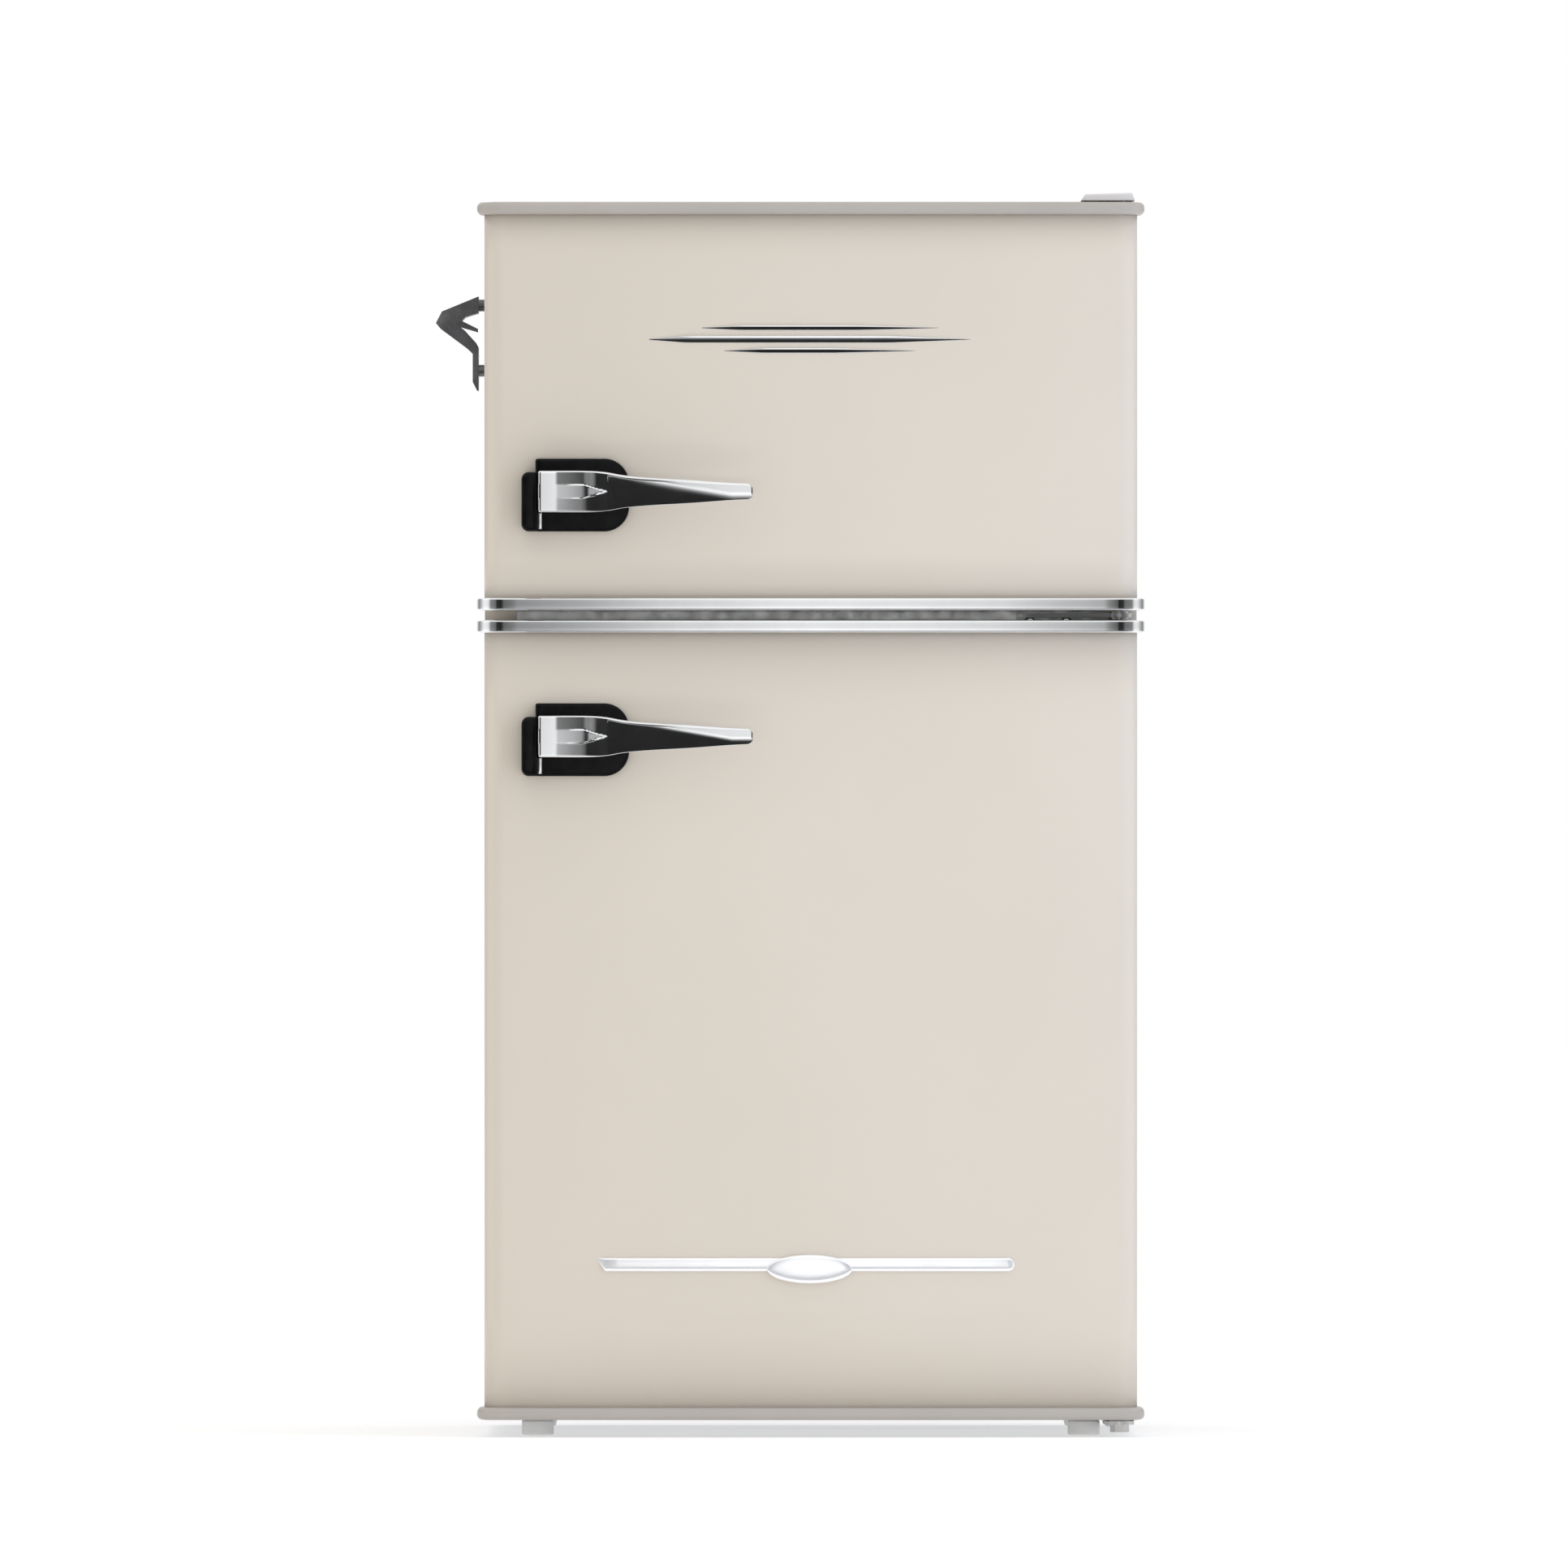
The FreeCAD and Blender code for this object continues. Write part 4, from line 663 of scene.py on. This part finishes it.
def lever_section(front, back, half, radius, lower):
    """Section of a lever, (y, z): a rectangle whose front is divided evenly.

    Its corners are rounded by radius, but for the front's lower one, which is rounded by lower.
    """
    across, corner = 44, 5
    outline = arc(back - radius, half - radius, radius, 0, 90, corner)
    outline += arc(front + radius, half - radius, radius, 90, 180, corner)
    outline += [(front, mix(half - radius, lower - half, k / across)) for k in range(1, across)]
    outline += arc(front + lower, lower - half, lower, 180, 270, corner)
    outline += arc(back - radius, radius - half, radius, 270, 360, corner)
    return outline


def lever_ring(x, left, right, out, mid):
    """One ring, at x, of a lever that runs from left to right, its tip's y at out and its middle z at mid."""
    d = (x - left) / MM
    near_root = quarter_round((x - left) / ROOT_ROUND)
    near_tip = quarter_round((right - x) / TIP_ROUND)
    front = out + eased(ROOT_DEPTHS if d <= VALLEY else ARM_DEPTHS, d) * MM
    back = out + eased(BACK_DEPTHS, d) * MM
    front = mix(front + ROOT_ROUND, front, near_root)
    middle, reach = (front + back) / 2, (back - front) / 2 * mix(0.45, 1.0, near_tip)
    front, back = middle - reach, middle + reach
    half = eased(HALF_HEIGHTS, d) * MM
    half *= mix(0.95, 1.0, near_root) * mix(0.25, 1.0, quarter_round((right - x) / TIP_CORNER))
    most = min(0.45 * (back - front), 0.8 * half)
    radius = min(eased(CORNER_RADII, d) * MM, most)
    lower = min(eased(LOWER_RADII, d) * MM, most)
    ring = []
    for y, z in lever_section(front, back, half, radius, lower):
        share = 1 - (y - front) / (back - front)
        ring.append((x, y + facets(d, z / MM, (front - out) / MM) * MM * share, mid + z))
    return ring


def lever(node):
    """Chrome lever: a broad root with a raised spear, and an arm that sweeps forward and narrows to its tip.

    A thin upright strip stands under the root's end.
    """
    low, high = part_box(node)
    left, right, out = low.x, high.x, low.y
    mid = (low.z + high.z) / 2
    along, crowding = 170, 0.55    # the stations lie closer together towards both ends
    evenly = [n / along for n in range(along + 1)]
    shares = [s - math.sin(2 * math.pi * s) / (2 * math.pi) * crowding for s in evenly]
    stations = sorted([(right - left) * share for share in shares] + [VALLEY * MM])
    cast = rings_to_mesh([lever_ring(left + station, left, right, out, mid) for station in stations])
    strip_left, strip_top = left - 0.2 * MM, mid - 14.5 * MM
    strip_right, strip_bottom = strip_left + 2.4 * MM, strip_top - 11 * MM
    strip = [(strip_left, strip_bottom), (strip_right, strip_bottom), (strip_right, strip_top),
             (strip_left, strip_top)]
    verts, faces = join_meshes([cast, slab(strip, out + 25 * MM, 0.5 * MM, steps=3)])
    piece(node + "_cast", verts, faces, node, smooth_angle=17)


def quarter_round(share):
    """Height of a rounded end, share of its radius away from the very end."""
    near = min(1.0, max(0.0, share))
    return math.sqrt(1 - (1 - near)**2)


def ramp(value, start, end):
    """0 before start and 1 after end, with a soft curve between."""
    t = min(1.0, max(0.0, (value - start) / (end - start)))
    return t * t * (3 - 2 * t)


def facets(d, z, depth):
    """Relief of the lever's front, positive inwards.

    All are millimetres: d along it, z from its middle, depth how far the plain front lies behind the tip.
    On the root a spear keeps nearly level while the bands above and below it fall away. On the arm a ridge
    runs from the top of the root to the bottom of the tip, and the face below it looks downwards.
    """
    spear_half = SPEAR_HALF * min(1.0, max(0.0, (VALLEY - 0.5 - d) / SPEAR_POINT))
    raised = ramp(spear_half - abs(z), -0.3, 0.3) if spear_half > 0 else 0.0
    spear = raised * max(0.0, depth - 5.0 - 0.105 * max(0.0, d - 10))
    turning = 0.03 if z > 0 else 0.012
    bands = turning * min(20.0, max(0.0, d - 11)) * (1 - ramp(d, 31, 42)) * (1 - raised)
    if d <= VALLEY:
        return bands - spear
    ridge = mix(14.0, 0.0, min(1.0, max(0.0, (d - 52) / 80)))
    below = max(0.0, ridge - z)
    return below * below / (below + 8.0) * 0.34


# ---------------------------------------------------------------- trim on the doors
BAR_BOTTOM, BAR_TOP = 113.2 * MM, 122.6 * MM
BAR_PROUD = 2.4 * MM
BOSS_X, BOSS_Z = -0.8 * MM, 114.9 * MM
BOSS_HALF_WIDTH, BOSS_HALF_HEIGHT = 29.4 * MM, 9.9 * MM
BOSS_PROUD, BOSS_CROWN = 3.8, 0.3     # millimetres: its rim's height off the door, and its middle's above that
SUNK = 0.1                            # millimetres that the trim reaches into the door's front

# The ornament's lines, in millimetres: height off the floor, left end, right end, half the line's thickness.
LINES = [(757.5, -78, 92, 1.9), (749.7, -115, 114, 2.6), (741.9, -62, 76, 1.9)]
LINE_PROUD, LINE_LEAN = 2.0 * MM, 0.65
LEFT_TAPER, RIGHT_TAPER = 30, 60


def domed_bar(stations, height, across=14, lean=0.0):
    """A bar on the door whose section is a low arch: stations are (x, lowest z, highest z).

    A lean thins the arch towards its lower edge, so its face looks down a little.
    """
    middle = stations[len(stations) // 2]
    rings = []
    for x, z0, z1 in stations:
        ring = []
        size = min(1.0, (z1 - z0) / (middle[2] - middle[1]))
        for k in range(across + 1):
            turn = math.pi * k / across
            arch = (1 - math.cos(turn)**4)**0.25 * (1 - lean * (1 + math.cos(turn)) / 2)
            proud = height * size * arch - SUNK * MM
            ring.append((x, door_front(x, proud), (z0 + z1) / 2 - (z1 - z0) / 2 * math.cos(turn)))
        rings.append(ring)
    return rings_to_mesh(rings)


def bar_stations(left, right):
    """Stations of the lower bar, which is cut on the slant at its left and round at its right."""
    slant, round_end = 6 * MM, (BAR_TOP - BAR_BOTTOM) / 2
    stations = []
    for k in range(1, 7):
        stations.append((left + slant * k / 6, mix(BAR_TOP, BAR_BOTTOM, k / 6), BAR_TOP))
    for k in range(1, 30):
        stations.append((mix(left + slant, right - round_end, k / 30), BAR_BOTTOM, BAR_TOP))
    middle = (BAR_BOTTOM + BAR_TOP) / 2
    for k in range(9):
        turn = math.radians(90 * k / 9)
        reach = round_end * math.cos(turn)
        stations.append((right - round_end + round_end * math.sin(turn), middle - reach, middle + reach))
    return stations


def oval_boss():
    """The raised oval in the middle of the lower bar."""
    levels, around = 12, 64
    rings = []
    for level in range(levels + 1):
        turn = math.radians(90 * level / levels)
        ring = []
        for k in range(around):
            spin = 2 * math.pi * k / around
            x = BOSS_X + BOSS_HALF_WIDTH * math.cos(turn) * math.cos(spin)
            z = BOSS_Z + BOSS_HALF_HEIGHT * math.cos(turn) * math.sin(spin)
            proud = BOSS_PROUD * (1 - math.cos(turn)**8)**0.125 + BOSS_CROWN * math.sin(turn)
            ring.append((x, door_front(x, (proud - SUNK) * MM), z))
        rings.append(ring)
    return rings_to_mesh(rings)


def lower_bar(node):
    """Bright bar with an oval boss, across the lower door."""
    low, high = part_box(node)
    bar = domed_bar(bar_stations(low.x, high.x), BAR_PROUD)
    verts, faces = join_meshes([bar, oval_boss()])
    piece(node + "_chrome", verts, faces, node, smooth_angle=60)


def speed_lines(node):
    """Generic ornament: three tapering chrome lines."""
    steps = 48
    bars = []
    for z, left, right, half in LINES:
        stations = []
        for k in range(1, steps):
            x = mix(left, right, k / steps)
            reach = half * min(1.0, (x - left) / LEFT_TAPER, (right - x) / RIGHT_TAPER)
            stations.append((x * MM, (z - reach) * MM, (z + reach) * MM))
        bars.append(domed_bar(stations, LINE_PROUD, across=12, lean=LINE_LEAN))
    verts, faces = join_meshes(bars)
    piece(node + "_lines", verts, faces, node, smooth_angle=60)


# ---------------------------------------------------------------- build every piece
for door in ("freezer", "fridge"):
    door_panel(door + "_door_skin")
    bellows_gasket(door + "_gasket")
    handle_plate(door + "_handle_base")
    lever(door + "_handle_lever")
for node in ("freezer_door_top_cap", "freezer_door_bottom_trim",
             "fridge_door_top_trim", "fridge_door_bottom_cap"):
    end_cap(node)
lower_bar("lower_trim")
speed_lines("badge")
ROUNDED = {                # rounding of each node's sharp edges, in millimetres
    "bottle_opener": 0.9, "top_hinge_cover": 0.5, "middle_hinge": 0.3, "bottom_hinge": 0.3,
    "top_hinge": 0.3, "cabinet_shell": 0.35, "centre_rail": 0.3, "base_pan": 0.4, "back_panel": 0.3,
    "thermostat_housing": 1.0, "thermostat_knob": 0.5, "shelf_glass": 0.5, "shelf_trim": 0.5,
    "crisper_cover": 0.4, "crisper_drawer": 0.5, "freezer_door_rack": 0.5,
    "fridge_door_bottle_rack": 0.5, "fridge_door_upper_rack": 0.5, "freezer_liner": 0.8,
    "fridge_liner": 0.8, "freezer_door_liner": 0.8, "fridge_door_liner": 0.8, "compressor": 0.6,
    "compressor_rail": 0.4, "compressor_bolts": 0.3, "relay_cover": 0.8, "drip_tray": 0.6,
    "cabinet_screws": 0.25, "front_foot_left": 0.5, "front_foot_right": 0.5, "rear_feet": 0.5,
    "condenser_clips": 0.3, "filter_drier": 0.4, "cord_gland": 0.3}
for node, width in ROUNDED.items():
    softened(node, width * MM)


# ---------------------------------------------------------------- studio
VIEW_WIDTH = 1.0705        # width of the picture at the doors' front
VIEW_X, VIEW_Z = -0.0183, 0.4461
LENS, SENSOR = 800.0, 36.0
FLOOR_HALF = 30.0
CARD_RADIUS, CARD_TOP = 3.0, 1.9
FLOOR_CARD_LIFT = 0.002


def stage_mesh(name, verts, faces, material):
    """A mesh of the studio, which isn't part of the object."""
    mesh = bpy.data.meshes.new(name)
    mesh.from_pydata(verts, [], faces)
    mesh.materials.append(material)
    made = bpy.data.objects.new(name, mesh)
    bpy.context.scene.collection.objects.link(made)
    return made


def sheet_on_floor(name, x_range, y_range, z, material):
    """A level rectangle that faces up."""
    (x0, x1), (y0, y1) = x_range, y_range
    corners = [(x0, y0, z), (x1, y0, z), (x1, y1, z), (x0, y1, z)]
    return stage_mesh(name, corners, [(0, 1, 2, 3)], material)


def make_floor():
    """A matt floor that is white enough to merge with the background."""
    f = Finish("floor_paint", (0.5, 0.5, 0.5), 0.9, Specular_IOR_Level=0.0, Emission_Strength=0.52)
    f.put("Emission Color", (1.0, 1.0, 1.0, 1.0))
    f.mottle(f.noise(3.0, 3.0), 0.008)
    whole = (-FLOOR_HALF, FLOOR_HALF)
    sheet_on_floor("floor", whole, whole, 0, f.material)


class Glow(Nodes):
    """The material of a card that gives light."""

    def __init__(self, name):
        super().__init__(name)
        self.tree.nodes.clear()
        self.light = self.node("ShaderNodeEmission")
        output = self.node("ShaderNodeOutputMaterial")
        self.link(self.light.outputs["Emission"], output.inputs["Surface"])
        self.where = self.place()

    def arithmetic(self, operation, value, number):
        made = self.node("ShaderNodeMath", operation=operation)
        made.inputs[1].default_value = number
        self.link(value, made.inputs[0])
        return made.outputs["Value"]

    def curve(self, value, points):
        """A smooth curve through (value, result) points, up to twice as high as the node's own limit of 1."""
        made = self.node("ShaderNodeFloatCurve")
        places = made.mapping.curves[0].points
        while len(places) < len(points):
            places.new(0.5, 0.5)
        for place, (x, y) in zip(places, points):
            place.location = (x, y / 2)
        made.mapping.update()
        self.link(value, made.inputs["Value"])
        return self.arithmetic("MULTIPLY", made.outputs["Value"], 2.0)


def ring_glow(levels, heights):
    """Light for the ring of panels.

    levels are (degrees to the right of straight ahead, brightness) round the object, and heights are
    (share of the card's height, strength).
    """
    glow = Glow("ring_glow")
    around = glow.node("ShaderNodeTexGradient", gradient_type="RADIAL")
    glow.link(glow.where, around.inputs["Vector"])
    stops = [(0.25 + degrees / 360, (value, value, value)) for degrees, value in levels]
    glow.link(glow.ramp(around.outputs["Fac"], stops, "EASE"), glow.light.inputs["Color"])
    height = glow.arithmetic("DIVIDE", glow.coordinate(glow.where, "Z"), CARD_TOP)
    glow.link(glow.curve(height, heights), glow.light.inputs["Strength"])
    return glow.material


def floor_glow(dark, bright, start, end):
    """Light that goes from dark at y = start to bright at y = end."""
    glow = Glow("floor_glow")
    y = glow.coordinate(glow.where, "Y")
    strength = glow.between(y, dark, bright, start, end, interpolation_type="SMOOTHSTEP")
    glow.link(strength, glow.light.inputs["Strength"])
    return glow.material


def only_reflected(card):
    """The card shows in mirror-like surfaces, and nowhere else."""
    card.visible_camera = False
    card.visible_diffuse = False
    card.visible_shadow = False
    card.visible_transmission = False


def make_ring_card():
    """A ring of light and dark panels round the object, for the bright metal to reflect."""
    levels = [(-90, 1.0), (-76, 0.9), (-62, 0.25), (-45, 0.18), (-35, 0.03), (-20, 0.02), (-14, 0.08),
              (-10.5, 0.18), (-7, 0.42), (-4, 0.74), (0, 0.92), (5, 0.84), (8, 0.55), (10.5, 0.20),
              (14, 0.02), (28, 0.03), (42, 0.18), (66, 0.22), (82, 0.85), (90, 0.9), (130, 0.3),
              (160, 0.8), (180, 0.9), (200, 0.8), (230, 0.3), (269, 1.0)]
    heights = [(0.0, 1.4), (0.16, 1.3), (0.26, 1.0), (0.40, 1.0), (0.55, 1.25), (1.0, 1.25)]
    steps = 90
    verts = []
    for k in range(steps):
        turn = 2 * math.pi * k / steps
        for z in (0.0, CARD_TOP):
            verts.append((CARD_RADIUS * math.cos(turn), CARD_RADIUS * math.sin(turn), z))
    count = len(verts)
    faces = [(k, k + 1, (k + 3) % count, (k + 2) % count) for k in range(0, count, 2)]
    ring = stage_mesh("ring_card", verts, faces, ring_glow(levels, heights))
    ring.location = (0, DOOR_EDGE, 0)
    only_reflected(ring)


def make_floor_card():
    """A sheet on the floor before the object, dark where it is near, for the bright metal to reflect."""
    near, far, side = DOOR_EDGE - 0.42, DOOR_EDGE - 2.4, 2.0
    shade = floor_glow(0.02, 0.95, DOOR_EDGE - 1.3, far)
    only_reflected(sheet_on_floor("floor_card", (-side, side), (far, near), FLOOR_CARD_LIFT, shade))


def soft_light(name, place, target, size, watts, color=(1.0, 1.0, 1.0)):
    """A rectangular lamp at a place, turned to a target. Mirror-like surfaces don't show it."""
    lamp = bpy.data.lights.new(name, "AREA")
    lamp.color = color
    lamp.shape = "RECTANGLE"
    lamp.size, lamp.size_y = size
    lamp.energy = watts
    made = bpy.data.objects.new(name, lamp)
    made.location = place
    made.rotation_euler = (Vector(target) - Vector(place)).to_track_quat("-Z", "Y").to_euler()
    made.visible_camera = False
    made.visible_glossy = False
    bpy.context.scene.collection.objects.link(made)


def make_world():
    """An even white surrounding."""
    world = bpy.data.worlds.new("studio")
    world.use_nodes = True
    background = world.node_tree.nodes["Background"]
    background.inputs["Color"].default_value = (1.0, 1.0, 1.0, 1.0)
    background.inputs["Strength"].default_value = 1.0
    bpy.context.scene.world = world


def make_camera():
    """A long lens, level and square to the doors."""
    lens = bpy.data.cameras.new("camera")
    lens.lens, lens.sensor_width = LENS, SENSOR
    lens.clip_end = 100.0
    made = bpy.data.objects.new("camera", lens)
    distance = VIEW_WIDTH * LENS / SENSOR
    made.location = (VIEW_X, DOOR_EDGE - CROWN - distance, VIEW_Z)
    made.rotation_euler = (math.radians(90), 0, 0)
    bpy.context.scene.collection.objects.link(made)
    bpy.context.scene.camera = made


make_floor()
make_world()
make_ring_card()
make_floor_card()
make_camera()
soft_light("right_strip", (0.75, -0.75, 0.45), (0.05, -0.25, 0.45), (0.3, 1.4), 3.4, color=(0.48, 0.65, 1.0))
soft_light("low_fill", (0, -5.0, 0.25), (0, 0, 0.1), (3.0, 0.4), 22)
soft_light("skirt_fill", (0, -1.25, 0.03), (0, -0.26, 0.10), (0.9, 0.08), 0.9)
soft_light("overhead", (0, -0.3, 3.2), (0, 0, 0), (2.0, 2.0), 12)
bpy.context.scene.view_settings.view_transform = "Standard"
